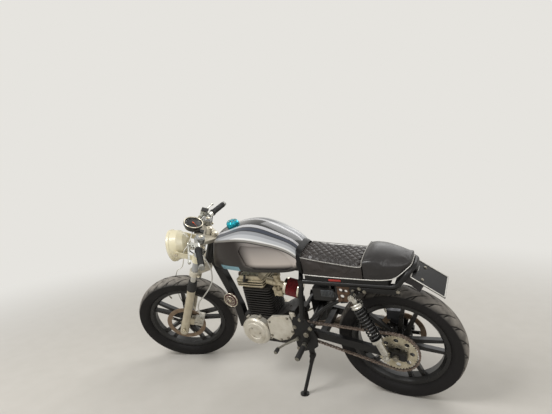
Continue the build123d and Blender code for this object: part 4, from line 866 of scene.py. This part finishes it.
# The bands stand partly for paint and partly for the sky reflected in the shoulders.
ramp = add(tree, "ValToRGB", {}, {0: band_share})
stops = ramp.color_ramp.elements
stops.remove(stops[1])
stops[0].color = linear(BANDS_AND_REFLECTIONS[0][1])
for (_, before), (place, code) in zip(BANDS_AND_REFLECTIONS, BANDS_AND_REFLECTIONS[1:]):
    stops.new(place).color = linear(code)
    stops.new(place - BAND_BLEND).color = linear(before)
reflection_bands = add(tree, "MapRange", {1: 0.215, 2: 0.23}, {0: band_share})
over(tree, reflection_bands, colour=ramp.outputs[0], rough=0.28)
rise = add(tree, "Math", {"operation": "SUBTRACT", 1: TANK_FLOOR}, {0: z})
below = add(tree, "Math", {"operation": "SUBTRACT"}, {0: profiles[0], 1: rise})
# A grey strip just under the ledge: a painted highlight, the sky reflected along the shoulder.
over(tree, add(tree, "MapRange", {1: 0.002, 2: 0.004}, {0: below}), colour="8b8883", rough=0.5)
# A dark line along the crease under it: painted shade.
line_mask = add(tree, "MapRange", {1: 0.013, 2: 0.015}, {0: below})
over(tree, line_mask, colour="151311")
down = add(tree, "MapRange", {1: 0.905, 2: 0.800}, {0: z})
grey = add(tree, "Mix", {"data_type": "RGBA", 6: linear("8c8683"), 7: linear("cfc6bf")}, {0: down})
panel = add(tree, "MapRange", {1: 0.018, 2: 0.021}, {0: below})
over(tree, panel, colour=grey.outputs[2], rough=0.62, coat=0.0)
nose = add(tree, "MapRange", {"interpolation_type": "SMOOTHSTEP", 1: -0.685, 2: -0.775}, {0: x})
nose_side = add(tree, "Math", {"operation": "MULTIPLY"}, {0: nose, 1: line_mask})
over(tree, nose_side, colour="221b19", rough=0.3)
low = add(tree, "MapRange", {"interpolation_type": "SMOOTHSTEP", 1: 0.806, 2: 0.766}, {0: z})
over(tree, low, colour="1d1a18", rough=0.35)
strip = add(tree, "MapRange", {1: STRIP_START[0], 2: STRIP_START[1]}, {0: x})
over(tree, within(tree, xyz, STRIP_LIMITS, strip), colour="7fa9b8", rough=0.25)
paint(tank_paint, "fuel_tank")

# Anodised aluminium, turned: a clear bright blue with a metal's shine, and painted shade in its
# hollows.
cap_blue = finish("anodised_blue", "35c3d2", "1b8ea6", (0.12, 0.25), metallic=0.75, patch_mm=25,
                  dirt_and_shade="0a3440", dirt_and_shade_mm=6, round_mm=1.0)
paint(cap_blue, "fuel_cap")
ridges, bolts = [], []
for spot in ring(24, 0.0335, about="Z"):
    low, high = spot + Vector((0, 0, 0.008)), spot + Vector((0, 0, 0.028))
    ridges.append(bar(low, high, 0.0022, 10, chamfer=0.0008))
for spot in ring(6, 0.021, about="Z"):
    bolts += bolt(spot + Vector((0, 0, 0.0395)), (0, 0, 1), 0.0032, 0.003, washer=False)
ridges.append(bar((0, 0, 0.0385), (0, 0, 0.0425), 0.013, 36, chamfer=0.001))
settle("cap_ridges", cap_blue, ridges, CAP)
settle("cap_bolts", plated, bolts, CAP)

# Seat
# A foam cushion under brown black leather, its top sewn in diamonds and its sides plain, with a
# pale piping along its edge that runs on over the hump's front edge, where it is a painted
# highlight. The tail hump is smooth leather over a shell. A bright bead seals their foot, and a
# leather tab laps over the tank's tail.
SEAT_Z = 0.7436
DIAMOND = 0.028
CHANNEL = 0.0030
PUFF = 0.0012
VOXEL = 0.005
SWELL_CAP = 0.007
HOLD = 0.03
CLOTH_STEPS = 20
# Lines on the left side, X, Y and height above the seat's foot
EDGE = [
    (-0.429, -0.0925, 0.0965), (-0.350, -0.0985, 0.0865), (-0.272, -0.1035, 0.0780),
    (-0.190, -0.1065, 0.0695), (-0.130, -0.1085, 0.0640), (-0.114, -0.1110, 0.0700),
    (-0.112, -0.1115, 0.0840), (-0.111, -0.1055, 0.0940), (-0.111, -0.0900, 0.0985),
    (-0.111, -0.0500, 0.1045), (-0.111, 0.0, 0.1075),
]
FOOT = [
    (-0.428, -0.0985, 0.0020), (-0.350, -0.1040, 0.0020), (-0.272, -0.1085, 0.0020),
    (-0.190, -0.1110, 0.0020), (-0.112, -0.1125, 0.0020), (-0.040, -0.1110, 0.0020),
    (0.000, -0.1065, 0.0040), (0.030, -0.0990, 0.0080), (0.056, -0.0870, 0.0240),
    (0.080, -0.0720, 0.0420), (0.1035, -0.0540, 0.0600), (0.1040, -0.0200, 0.0600),
    (0.1040, 0.0, 0.0600),
]


def share_of(value):
    # A value held between none and all.
    return min(1.0, max(0.0, value))


def stuffed(node, shrink, pressure):
    # The soft solid remade as a skin over foam, blown up a little, with its foot and ends held.
    made = joined([placed(node + "_cover", nodes[node].data.copy())])
    closed(weld=0.00005)
    made.data.transform(machine.inverted())
    skin = made.modifiers.new("skin", "REMESH")
    skin.mode = "VOXEL"
    skin.voxel_size = VOXEL
    bpy.ops.object.modifier_apply(modifier="skin")
    rest = [vertex.co - vertex.normal * shrink for vertex in made.data.vertices]
    low = min(p.z for p in rest)
    front = min(p.x for p in rest)
    rear = max(p.x for p in rest)
    for vertex, p in zip(made.data.vertices, rest):
        vertex.co = p
    cloth = made.modifiers.new("cloth", "CLOTH")
    cloth.settings.quality = 5
    cloth.settings.use_pressure = True
    cloth.settings.uniform_pressure_force = pressure
    cloth.settings.effector_weights.gravity = 0
    for moment in range(1, CLOTH_STEPS + 1):
        bpy.context.scene.frame_set(moment)
    shape = made.evaluated_get(bpy.context.evaluated_depsgraph_get())
    blown = [vertex.co.copy() for vertex in shape.data.vertices]
    made.modifiers.remove(cloth)
    bpy.context.scene.frame_set(1)
    for vertex, p, far in zip(made.data.vertices, rest, blown):
        free = share_of((p.z - low) / HOLD)
        free *= share_of((p.x - front) / HOLD) * share_of((rear - p.x) / HOLD)
        move = far - p
        if move.length > SWELL_CAP:
            move = move.normalized() * SWELL_CAP
        vertex.co = p + move * free
    fine = made.modifiers.new("fine", "SUBSURF")
    fine.levels = fine.render_levels = 1
    bpy.ops.object.modifier_apply(modifier="fine")
    return made


def trim(points, radius):
    # A round bead along a smooth line.
    line = bpy.data.curves.new("trim", "CURVE")
    line.dimensions = "3D"
    line.bevel_depth = radius
    line.bevel_resolution = 3
    line.use_fill_caps = True
    spline = line.splines.new("NURBS")
    spline.points.add(len(points) - 1)
    for point, place in zip(spline.points, points):
        point.co = (*place, 1)
    spline.order_u = 3
    spline.use_endpoint_u = True
    spline.resolution_u = 8
    joined([placed("trim", line)])
    bpy.ops.object.convert(target="MESH")
    return bpy.context.object


def seat_line(half, radius):
    # A bead along a line on the left, carried round to the right.
    half = [(x, y, SEAT_Z + z) for x, y, z in half]
    return trim(half + [(x, -y, z) for x, y, z in reversed(half) if y], radius)


cushion = stuffed("seat_cushion", 0.0025, 4)
normals = [vertex.normal.copy() for vertex in cushion.data.vertices]
for vertex, normal in zip(cushion.data.vertices, normals):
    # The seams cross in diamonds on the top alone, and the leather puffs up between them.
    x, y, _ = vertex.co
    side = 0.100 + (x + 0.432) * 0.036
    face = share_of((normal.z - 0.55) * 4) * share_of((side - 0.004 - abs(y)) / 0.006)
    lines = [(x + y) / 1.4142, (x - y) / 1.4142]
    near = min(abs((u / DIAMOND + 0.5) % 1 - 0.5) * DIAMOND for u in lines)
    sink = math.exp(-(near / CHANNEL) ** 2) * CHANNEL - share_of(near / (DIAMOND / 2)) * PUFF
    vertex.co -= normal * sink * face
# Cowhide, sewn: dark brown with a soft sheen and a coarse grain, black in the seams with
# painted shade.
leather = finish("quilted_leather", "2b2421", "1c1715", (0.36, 0.5), patch_mm=70, grain_mm=2.2,
                 bump=0.35, dirt_and_shade="0c0908", dirt_and_shade_mm=7, dirt_and_shade_share=0.9, round_mm=0.6)
cover = settle("seat_cushion_cover", leather, [cushion], angle=1.2,
               replaces=("seat_cushion",))
# Cowhide stretched over a shell: smooth, near black, shinier than the cushion, with painted shade
# in its hollows.
smooth_leather = finish("smooth_leather", "1d1b1b", "252222", (0.28, 0.42), patch_mm=90,
                        grain_mm=2.2, bump=0.25, dirt_and_shade="0c0a0a", dirt_and_shade_mm=7, round_mm=0.6)
cover = settle("seat_hump_cover", smooth_leather, [stuffed("seat_hump", 0.0015, 2)],
               angle=1.2, replaces=("seat_hump",))
# Vinyl over cord, sewn into the edge: a dull light grey line, with painted shade in its hollows.
# Where it runs over the hump's front edge it is a painted highlight.
piping_and_edge_highlight = finish("vinyl_piping_and_edge_highlight", "a9a6a0", "8b8882", (0.35, 0.5), patch_mm=20, dirt_and_shade="4a443c",
                dirt_and_shade_mm=5, round_mm=0.5)
settle("seat_piping_and_edge_highlight", piping_and_edge_highlight, [seat_line(EDGE, 0.0022)])
# Extruded vinyl bead: white and smooth, darkened where it meets the rail by dirt and painted
# shade.
bead = finish("bright_bead", "e4e2dc", "cbc8c0", (0.25, 0.4), patch_mm=30, dirt_and_shade="4a443c", dirt_and_shade_mm=5,
              round_mm=0.5)
settle("seat_bead", bead, [seat_line(FOOT, 0.0021)])
bpy.ops.mesh.primitive_grid_add(x_subdivisions=6, y_subdivisions=36, size=1)
tab = bpy.context.object
for vertex in tab.data.vertices:
    # The tab arches over the tail: u runs from front to rear, a from the left foot to the right.
    u, a = vertex.co.x + 0.5, math.pi * (vertex.co.y + 0.5)
    bulge = math.sin(math.pi * u)
    wide = 0.0945 + 0.006 * u + 0.0018 * bulge
    tall = 0.1045 + 0.0045 * u + 0.0022 * bulge
    y = -wide * math.copysign(abs(math.cos(a)) ** 0.42, math.cos(a))
    vertex.co = (-0.4560 + 0.0262 * u, y, 0.772 - 0.022 * u + tall * math.sin(a) ** 0.62)
wall = tab.modifiers.new("wall", "SOLIDIFY")
wall.thickness = 0.003
wall.offset = 0
bpy.ops.object.modifier_apply(modifier="wall")
# Dyed strap leather: plain black with a low sheen.
tab_leather = finish("black_strap_leather", "0b0b0b", "121111", (0.3, 0.42), patch_mm=40,
                     grain_mm=2.0, bump=0.2, round_mm=0.6, shine=0.2)
settle("tank_tail_tab", tab_leather, [tab], angle=0.8)

# Tail bracket and number plate
# A folded steel bracket carries a blank gloss black plate with a pale raised edge, two bolts and
# a small lamp over its upper edge.
PLATE_LEAN = math.radians(34.4)
PLATE = machine @ Matrix.Translation((0.1685, 0, 0.709)) @ Matrix.Rotation(PLATE_LEAN, 4, "Y")
PLATE_EDGES = [
    # low corner, high corner
    ((-0.0865, -0.0895), (0.0865, -0.0845)), ((-0.0865, 0.0845), (0.0865, 0.0895)),
    ((-0.0865, -0.0895), (-0.0815, 0.0895)), ((0.0815, -0.0895), (0.0865, 0.0895)),
]

# Satin paint on folded steel: a dark purplish grey.
paint(finish("bracket_paint", "2a272c", "1d1b1e", (0.3, 0.5)), "plate_bracket")
# Pressed aluminium, painted: smooth black with a soft shine.
paint(finish("plate_gloss", "08080a", "0e0e10", (0.3, 0.42), patch_mm=90, dirt_and_shade="1a1815", dirt_and_shade_mm=6,
             shine=0.3), "number_plate")
# White enamel on the pressed rim, greyed with road dirt, and with painted shade in its hollows.
white_edge = finish("white_plate_edge", "dedcd6", "c8c5bd", (0.3, 0.45), patch_mm=30, dirt_and_shade="5b544b",
                    dirt_and_shade_mm=4, round_mm=0.5)
made = [slab((*low, 0.0014), (*high, 0.0048), 0.0008) for low, high in PLATE_EDGES]
settle("plate_edge", white_edge, made, PLATE)
made = []
for y in (-0.055, 0.055):
    made += bolt((-0.030, y, 0.0035), (0, 0, 1), 0.005, 0.004)
settle("plate_bolts", zinc, made, PLATE)
lamp_body = slab((-0.079, -0.026, 0.0035), (-0.064, 0.026, 0.019), 0.003)
settle("plate_lamp", black_rubber, [lamp_body], PLATE)
# Moulded polycarbonate, drawn as opaque: milky white and smooth, with painted shade in its
# hollows.
clear = finish("clear_plastic", "e6e6e0", "d6d6d0", (0.1, 0.2), patch_mm=10)
lamp_lens = slab((-0.0645, -0.020, 0.006), (-0.0615, 0.020, 0.016), 0.001)
settle("plate_lamp_lens", clear, [lamp_lens], PLATE)

# Inner panels and electrical parts
# Moulded black plastic panels beside the filter and over the wheel, and a finned regulator of
# grey cast alloy screwed to the side of the box.
FIN_COUNT = 9
FIN_PITCH = 0.008
FIN_THICK = 0.0028

# Moulded polypropylene: matt black with pale dust in the corners.
paint(finish("moulded_panel", "121212", "1c1b1a", (0.4, 0.6), dirt_and_shade="3f372e"), "inner_panels")
# Die cast alloy, bare: a flat blue grey, with painted shade in its hollows.
grey_cast = finish("regulator_alloy", "6f7274", "55585a", (0.4, 0.6), metallic=0.4, patch_mm=20,
                   dirt_and_shade="2a2621", dirt_and_shade_mm=8)
fins = [slab((-0.352, -0.0885, 0.617), (-0.284, -0.0838, 0.654), 0.0008)]
for k in range(FIN_COUNT):
    x = -0.3495 + k * FIN_PITCH
    fins.append(slab((x, -0.0945, 0.619), (x + FIN_THICK, -0.0875, 0.652), 0.0005))
settle("regulator", grey_cast, fins)

# Fork, yokes and caliper
# Cast alloy yokes and lower legs in cream and sand paint, with grey covers between the yokes,
# hard chrome below them and black dust seals on the lower legs.
STEM_TO_LEG = 0.0634
COVER_FROM = 0.820
SEAL_TOP = 0.736
EDGE_BLEND = 0.0005

# Cast alloy under thin cream paint: warm and clouded, with brown grime and painted shade in its
# corners.
paint(finish("cream_casting", "ddd7c8", "b9b19e", (0.3, 0.5), metallic=0.3, patch_mm=40,
             dirt_and_shade="3a3127", dirt_and_shade_mm=14, dirt_and_shade_share=0.8), "yokes")
# Sand coloured paint on cast alloy: matt and a little worn, with painted shade in its hollows.
paint(finish("sand_fork_paint", "c6bca4", "a99f88", (0.35, 0.55), patch_mm=50, dirt_and_shade="3b3025",
             dirt_and_shade_mm=12), "fork_lowers")
# Hard chrome on ground tube: a mirror shine, with a painted cover above and a rubber seal below.
# Its hollows are darkened with painted shade.
tube_finish = finish("hard_chrome", "d4d3cf", "b8b6b0", (0.08, 0.2), metallic=1.0, patch_mm=60,
                     dirt_and_shade="3a332a", dirt_and_shade_mm=10)
tree = tube_finish.node_tree
height = add(tree, "SeparateXYZ", {}, {0: mapped(tree, head)}).outputs["Z"]
covered = {1: COVER_FROM - EDGE_BLEND, 2: COVER_FROM + EDGE_BLEND}
covered = add(tree, "MapRange", covered, {0: height})
over(tree, covered, colour="a4a5a6", rough=0.4, metal=0.2)
seal = add(tree, "MapRange", {1: SEAL_TOP + EDGE_BLEND, 2: SEAL_TOP - EDGE_BLEND}, {0: height})
over(tree, seal, colour="1c1b1a", rough=0.6, metal=0.0)
paint(tube_finish, "stanchions")
pinch = []
for side in (-1, 1):
    for s in (0.804, 1.018):
        pinch += bolt((-STEM_TO_LEG + 0.030, side * 0.1235, s), (0.3, side, 0), 0.0055, 0.008)
    pinch += bolt((-STEM_TO_LEG, side * 0.097, 1.0660), (0, 0, 1), 0.013, 0.006, washer=False)
    pinch += bolt((-STEM_TO_LEG, side * 0.1312, 0.3336), (0, side, 0), 0.012, 0.009)
    low, high = [(-STEM_TO_LEG, side * y, 0.352) for y in (0.1265, 0.1315)]
    pinch.append(bar(low, high, 0.0055, 16, chamfer=0.001))
pinch.append(bar((0, 0, 1.0415), (0, 0, 1.0490), 0.0165, 6, chamfer=0.0015))
pinch.append(bar((-0.034, 0, 1.0685), (-0.034, 0, 1.0735), 0.0155, 32, chamfer=0.001))
settle("yoke_bolts", plated, pinch, head, "steering")
key = slab((-0.040, -0.0013, 1.0728), (-0.028, 0.0013, 1.0742), 0.0003)
settle("key_slot", black_rubber, [key], head, "steering")
# Cast alloy, clear coated: pale grey with rounded edges, and brown in the recesses with dirt and
# painted shade.
caliper_cast = finish("caliper_alloy", "d3cfc4", "a6a195", (0.35, 0.55), metallic=0.4, patch_mm=25,
                      dirt_and_shade="362d24", dirt_and_shade_mm=10, dirt_and_shade_share=0.8, round_mm=2.5)
paint(caliper_cast, "front_caliper")
# Baked enamel on cast iron: a plain dark grey, with painted shade in its hollows.
paint(finish("grey_caliper_enamel", "5d5e63", "45464a", (0.35, 0.5), metallic=0.3, patch_mm=25,
             dirt_and_shade="1d1a18", dirt_and_shade_mm=10), "rear_caliper")
made = [bar((x, -0.0840, s), (x, -0.0905, s), 0.0095, chamfer=0.0015)
        for x, s in ((0.004, 0.378), (0.030, 0.420), (0.030, 0.378))]
settle("caliper_caps", caliper_cast, made, head, "steering")
made = []
for x, s in ((-0.038, 0.400), (-0.018, 0.424)):
    made += bolt((x, -0.0840, s), (0, -1, 0), 0.0065, 0.007)
settle("caliper_bolts", zinc, made, head, "steering")

# Bars, grips and controls
# Bead blasted clip-on bars with ribbed rubber grips and bright end weights. Die cast perches carry
# polished levers, black switch blocks, and the brake's fluid cup on the right.
BAR_SWEEP = math.tan(math.radians(20))
BAR_S = 1.048
RIBS = 18


def bar_point(y):
    # A place on the swept bars by its distance to the side.
    return Vector((-0.086 + (abs(y) - 0.097) * BAR_SWEEP, y, BAR_S))


# Aluminium tube, bead blasted: soft grey metal, with painted shade in its hollows.
paint(finish("blasted_bar", "a8a8a4", "8e8e8a", (0.3, 0.45), metallic=0.9, patch_mm=30), "clip_ons")
# Die cast alloy, polished: bright, with dirt and painted shade at the pivots.
paint(finish("polished_lever", "e0e0da", "bdbdb6", (0.1, 0.25), metallic=1.0, patch_mm=20,
             dirt_and_shade="3b352c", dirt_and_shade_mm=8), "hand_controls")
grips, blocks = [], []
for side in (-1, 1):
    start, end = bar_point(side * 0.1965), bar_point(side * 0.3135)
    length = (end - start).length
    # A flange, the ribs and a plain end, each as radius and distance along the grip
    outline = [(0.0114, 0.0), (0.0205, 0.0), (0.0205, 0.003), (0.0165, 0.005)]
    for k in range(RIBS):
        z = 0.006 + k * (length - 0.012) / RIBS
        outline += [(0.0158, z), (0.0172, z + 0.0014), (0.0172, z + 0.0036), (0.0158, z + 0.0050)]
    outline += [(0.0170, length - 0.004), (0.0170, length), (0.0114, length)]
    grip = spun([(r, 0, z) for r, z in outline], (0, 0, 1), 36)
    closed(weld=0.00002)
    grip.data.transform(Matrix.Translation(start) @ facing(end - start))
    grips.append(grip)
    inner, outer = bar_point(side * 0.1870), bar_point(side * 0.1955)
    middle = (inner + outer) / 2
    blocks.append(bar(inner, outer, 0.0195, 32, chamfer=0.0025))
    blocks.append(bar(middle + Vector((0.012, 0, 0.008)), middle + Vector((0.020, 0, 0.016)),
                      0.0035, 12, chamfer=0.0008))
# Moulded rubber: matt black, with dust between the ribs.
grip_rubber = finish("grip_rubber", "121212", "1a1a1a", (0.55, 0.75), patch_mm=20, dirt_and_shade="37322b",
                     dirt_and_shade_mm=3)
settle("ribbed_grips", grip_rubber, grips, head, "steering", replaces=("grips",))
perch_x = bar_point(0.152).x
blocks.append(slab((perch_x - 0.049, 0.131, 1.0815), (perch_x - 0.007, 0.173, 1.0865), 0.0015))
settle("switch_blocks", black_rubber, blocks, head, "steering")
screws = []
for x in (perch_x - 0.045, perch_x - 0.011):
    for y in (0.135, 0.169):
        screws.append(bar((x, y, 1.0860), (x, y, 1.0878), 0.0026, 12, chamfer=0.0005))
for y in (-0.162, 0.162):
    x = perch_x - 0.044
    screws.append(bar((x, y, 1.0590), (x, y, 1.0640), 0.0060, 6, chamfer=0.0008))
settle("control_screws", zinc, screws, head, "steering")
wires = []
for side, reach in ((-1, 0.0), (1, 0.012)):
    # The right wire is led further round the yokes than the left one.
    exit_at = bar_point(side * 0.191)
    route = [exit_at + Vector((0.004, 0, -0.014)), exit_at + Vector((0.012, -side * 0.030, -0.045)),
             (-0.020 - reach, side * 0.070, 0.960), (-0.040 - reach, side * 0.045, 0.900),
             (-0.080, side * 0.022, 0.872), (-0.118, side * 0.016, 0.885),
             (-0.142, side * 0.012, 0.898)]
    wires.append(trim(route, 0.0032))
settle("switch_wires", black_rubber, wires, head, "steering")

# Headlight and gauge
# A pressed shell in yellowed cream enamel with a rolled rim and a fluted glass over a silvered
# bowl. The gauge is a black cup with a plated rim, a black dial, white marks and a needle.
LAMP = head @ Matrix.Translation((-0.180, 0, 0.9105)) @ Matrix.Rotation(-RAKE, 4, "Y")
DIAL = head @ Matrix.Translation((-0.128, 0, 1.0782))
FLUTE_MM = 8
# The bowl's wall, out and back, as radius and distance along the lamp
BOWL = [(0.0745, -0.0372), (0.0760, -0.0400), (0.0600, -0.0220), (0.0400, -0.0080),
        (0.0120, 0.0010), (0.0118, 0.0022), (0.0380, -0.0062), (0.0590, -0.0205)]
MARKS = 33
MARK_SWEEP = 270
NUMBER_R = 0.0315

# Stove enamel on pressed steel: cream, yellowed in broad clouds under a thin gloss, with painted
# shade in its hollows.
enamel = finish("cream_enamel", "ebe5cd", "d6cba6", (0.2, 0.35), patch_mm=60, spread=0.7,
                dirt_and_shade="6b5a3c", dirt_and_shade_mm=12, coat=0.2)
paint(enamel, "headlight_shell")
# Pressed glass, fluted inside: half clear, with upright bands that bend the light, and painted
# shade in its hollows.
glass = finish("fluted_glass", "eef1ef", "e2e6e4", (0.04, 0.1), patch_mm=60, round_mm=0.5)
tree = glass.node_tree
shader = tree.nodes["Principled BSDF"]
shader.inputs["Transmission Weight"].default_value = 0.45
wave = {"Scale": 1000 / FLUTE_MM / (2 * math.pi), "bands_direction": "Y"}
flutes = add(tree, "TexWave", wave, {"Vector": mapped(tree, LAMP)}).outputs["Fac"]
relief = add(tree, "Bump", {"Strength": 0.6, "Distance": 0.001}, {"Height": flutes})
tree.links.new(relief.outputs[0], shader.inputs["Normal"])
paint(glass, "headlight_lens")
rim = loop((-0.0505, 0, 0), (1, 0, 0), 0.0905, 0.0042, 72)
settle("headlight_rim", plated, [rim], LAMP, "steering")
bowl = spun([(x, 0, r) for r, x in BOWL], (1, 0, 0), 64)
closed(weld=0.00002)
# Steel silvered in a vacuum: a clean white mirror, faintly greyed with painted shade in its
# hollows.
silvered = finish("silvered_bowl", "f2f2f0", "e6e6e3", (0.12, 0.2), metallic=0.9, patch_mm=60,
                  dirt_and_shade="b9b6ae", dirt_and_shade_mm=8, dirt_and_shade_share=0.2)
settle("headlight_bowl", silvered, [bowl], LAMP, "steering")
bulb = bar((0.000, 0, 0), (-0.026, 0, 0), 0.008, 24, chamfer=0.003)
settle("headlight_bulb", clear, [bulb], LAMP, "steering")
made = []
for side in (-1, 1):
    low, high = [(-0.180, side * y, 0.9105) for y in (0.1055, 0.1125)]
    made.append(bar(low, high, 0.0105, 6, chamfer=0.001))
settle("headlight_bolts", plated, made, head, "steering")
# Gloss lacquer on spun steel: deep black with clear reflections.
paint(finish("gauge_cup", "0d0d0f", "141416", (0.12, 0.25), patch_mm=30, coat=0.3), "gauge")
rim = loop((0, 0, 0.0045), (0, 0, 1), 0.0520, 0.0034, 72)
settle("gauge_rim", plated, [rim], DIAL, "steering")
# Printed card: flat black.
dial_black = finish("dial_black", "0a0a0b", "101011", (0.3, 0.4), patch_mm=20)
dial = bar((0, 0, 0.0001), (0, 0, 0.0009), 0.0475, 64, chamfer=0.0002)
settle("gauge_dial", dial_black, [dial], DIAL, "steering")
marks = []
for k in range(MARKS):
    numbered = k % 4 == 0
    a = math.radians(-45 - k * MARK_SWEEP / (MARKS - 1))
    inner = 0.0385 if numbered else 0.0415
    mark = slab((inner, -0.0006, 0.0009), (0.0450, 0.0006, 0.0013), 0.0001)
    mark.data.transform(Matrix.Rotation(a, 4, "Z"))
    marks.append(mark)
    if numbered:
        # The numbers lie in the dial's own thickness, so they don't show.
        bpy.ops.object.text_add()
        text = bpy.context.object.data
        text.body = str(k * 5)
        text.size = 0.0085
        text.align_x = text.align_y = "CENTER"
        text.extrude = 0.0002
        bpy.ops.object.convert(target="MESH")
        number = bpy.context.object
        at = Matrix.Translation((math.cos(a) * NUMBER_R, math.sin(a) * NUMBER_R, 0))
        number.data.transform(at @ Matrix.Rotation(math.pi / 2, 4, "Z"))
        marks.append(number)
# White ink: matt and slightly warm, with painted shade in its hollows.
white = finish("dial_white", "e9e9e4", "dcdcd6", (0.4, 0.5), patch_mm=5)
settle("gauge_marks", white, marks, DIAL, "steering")
# Painted aluminium: a plain orange, with painted shade in its hollows.
needle = finish("needle_orange", "d2501e", "b84015", (0.35, 0.45), patch_mm=5)
hand = [bar((-0.009, 0.009, 0.0022), (0.0285, -0.0285, 0.0022), 0.0012, 10, far_radius=0.0004),
        bar((0, 0, 0.0009), (0, 0, 0.0040), 0.0055, 24, chamfer=0.001)]
settle("gauge_needle", needle, hand, DIAL, "steering")

# Brake hose and speedometer cable
# The hose is rubber under woven steel, and the cable runs in a pale plastic cover. Both are held
# by the machine all the way and turn with the fork.

# Woven stainless wire: a light sparkle, its weave drawn coarser than the real one so that it shows.
# Its hollows are darkened with painted shade.
paint(finish("woven_steel", "f0efea", "b9b7b0", (0.25, 0.45), metallic=0.2, patch_mm=3,
             grain_mm=1.6, bump=0.6, round_mm=0.5), "brake_hose")
# Extruded vinyl: smooth and off white, with painted shade in its hollows.
paint(finish("pale_cable_cover", "f3f1ea", "e2dfd4", (0.3, 0.45), patch_mm=40, dirt_and_shade="6a6052",
             dirt_and_shade_mm=5), "speedo_cable")

# Foot controls
# Plated steel pegs, a gear lever and a brake pedal, with ribbed rubber sleeves pushed over the
# pegs and the two toe pieces.
PEG_X = -0.478
PEG_IN = (0.166, 0.3352)
PEG_OUT = (0.254, 0.3303)
PEG_R = 0.0138
TOE_X = -0.644
TOE_Z = 0.290
TOE_R = 0.0105

# Plated steel, dulled: grey metal in soft clouds, with painted shade in its hollows.
paint(finish("plated_control_steel", "9b998f", "74726a", (0.25, 0.45), metallic=0.9, patch_mm=30),
      "foot_controls")
sleeves = []
for side in (-1, 1):
    start, end = [Vector((PEG_X, side * y, z)) for y, z in (PEG_IN, PEG_OUT)]
    way = (end - start).normalized()
    sleeves.append(bar(start, end, PEG_R, 24, chamfer=0.0015))
    for k in range(9):
        sleeves.append(loop(start + way * (0.006 + k * 0.0095), way, PEG_R, 0.0019, 24, 8))
    start, end = [Vector((TOE_X, side * y, TOE_Z)) for y in (0.158, 0.190)]
    sleeves.append(bar(start, end, TOE_R, chamfer=0.0012))
    for k in range(4):
        at = (TOE_X, side * (0.162 + k * 0.008), TOE_Z)
        sleeves.append(loop(at, (0, 1, 0), TOE_R, 0.0015, 20, 8))
settle("foot_rubbers", black_rubber, sleeves)
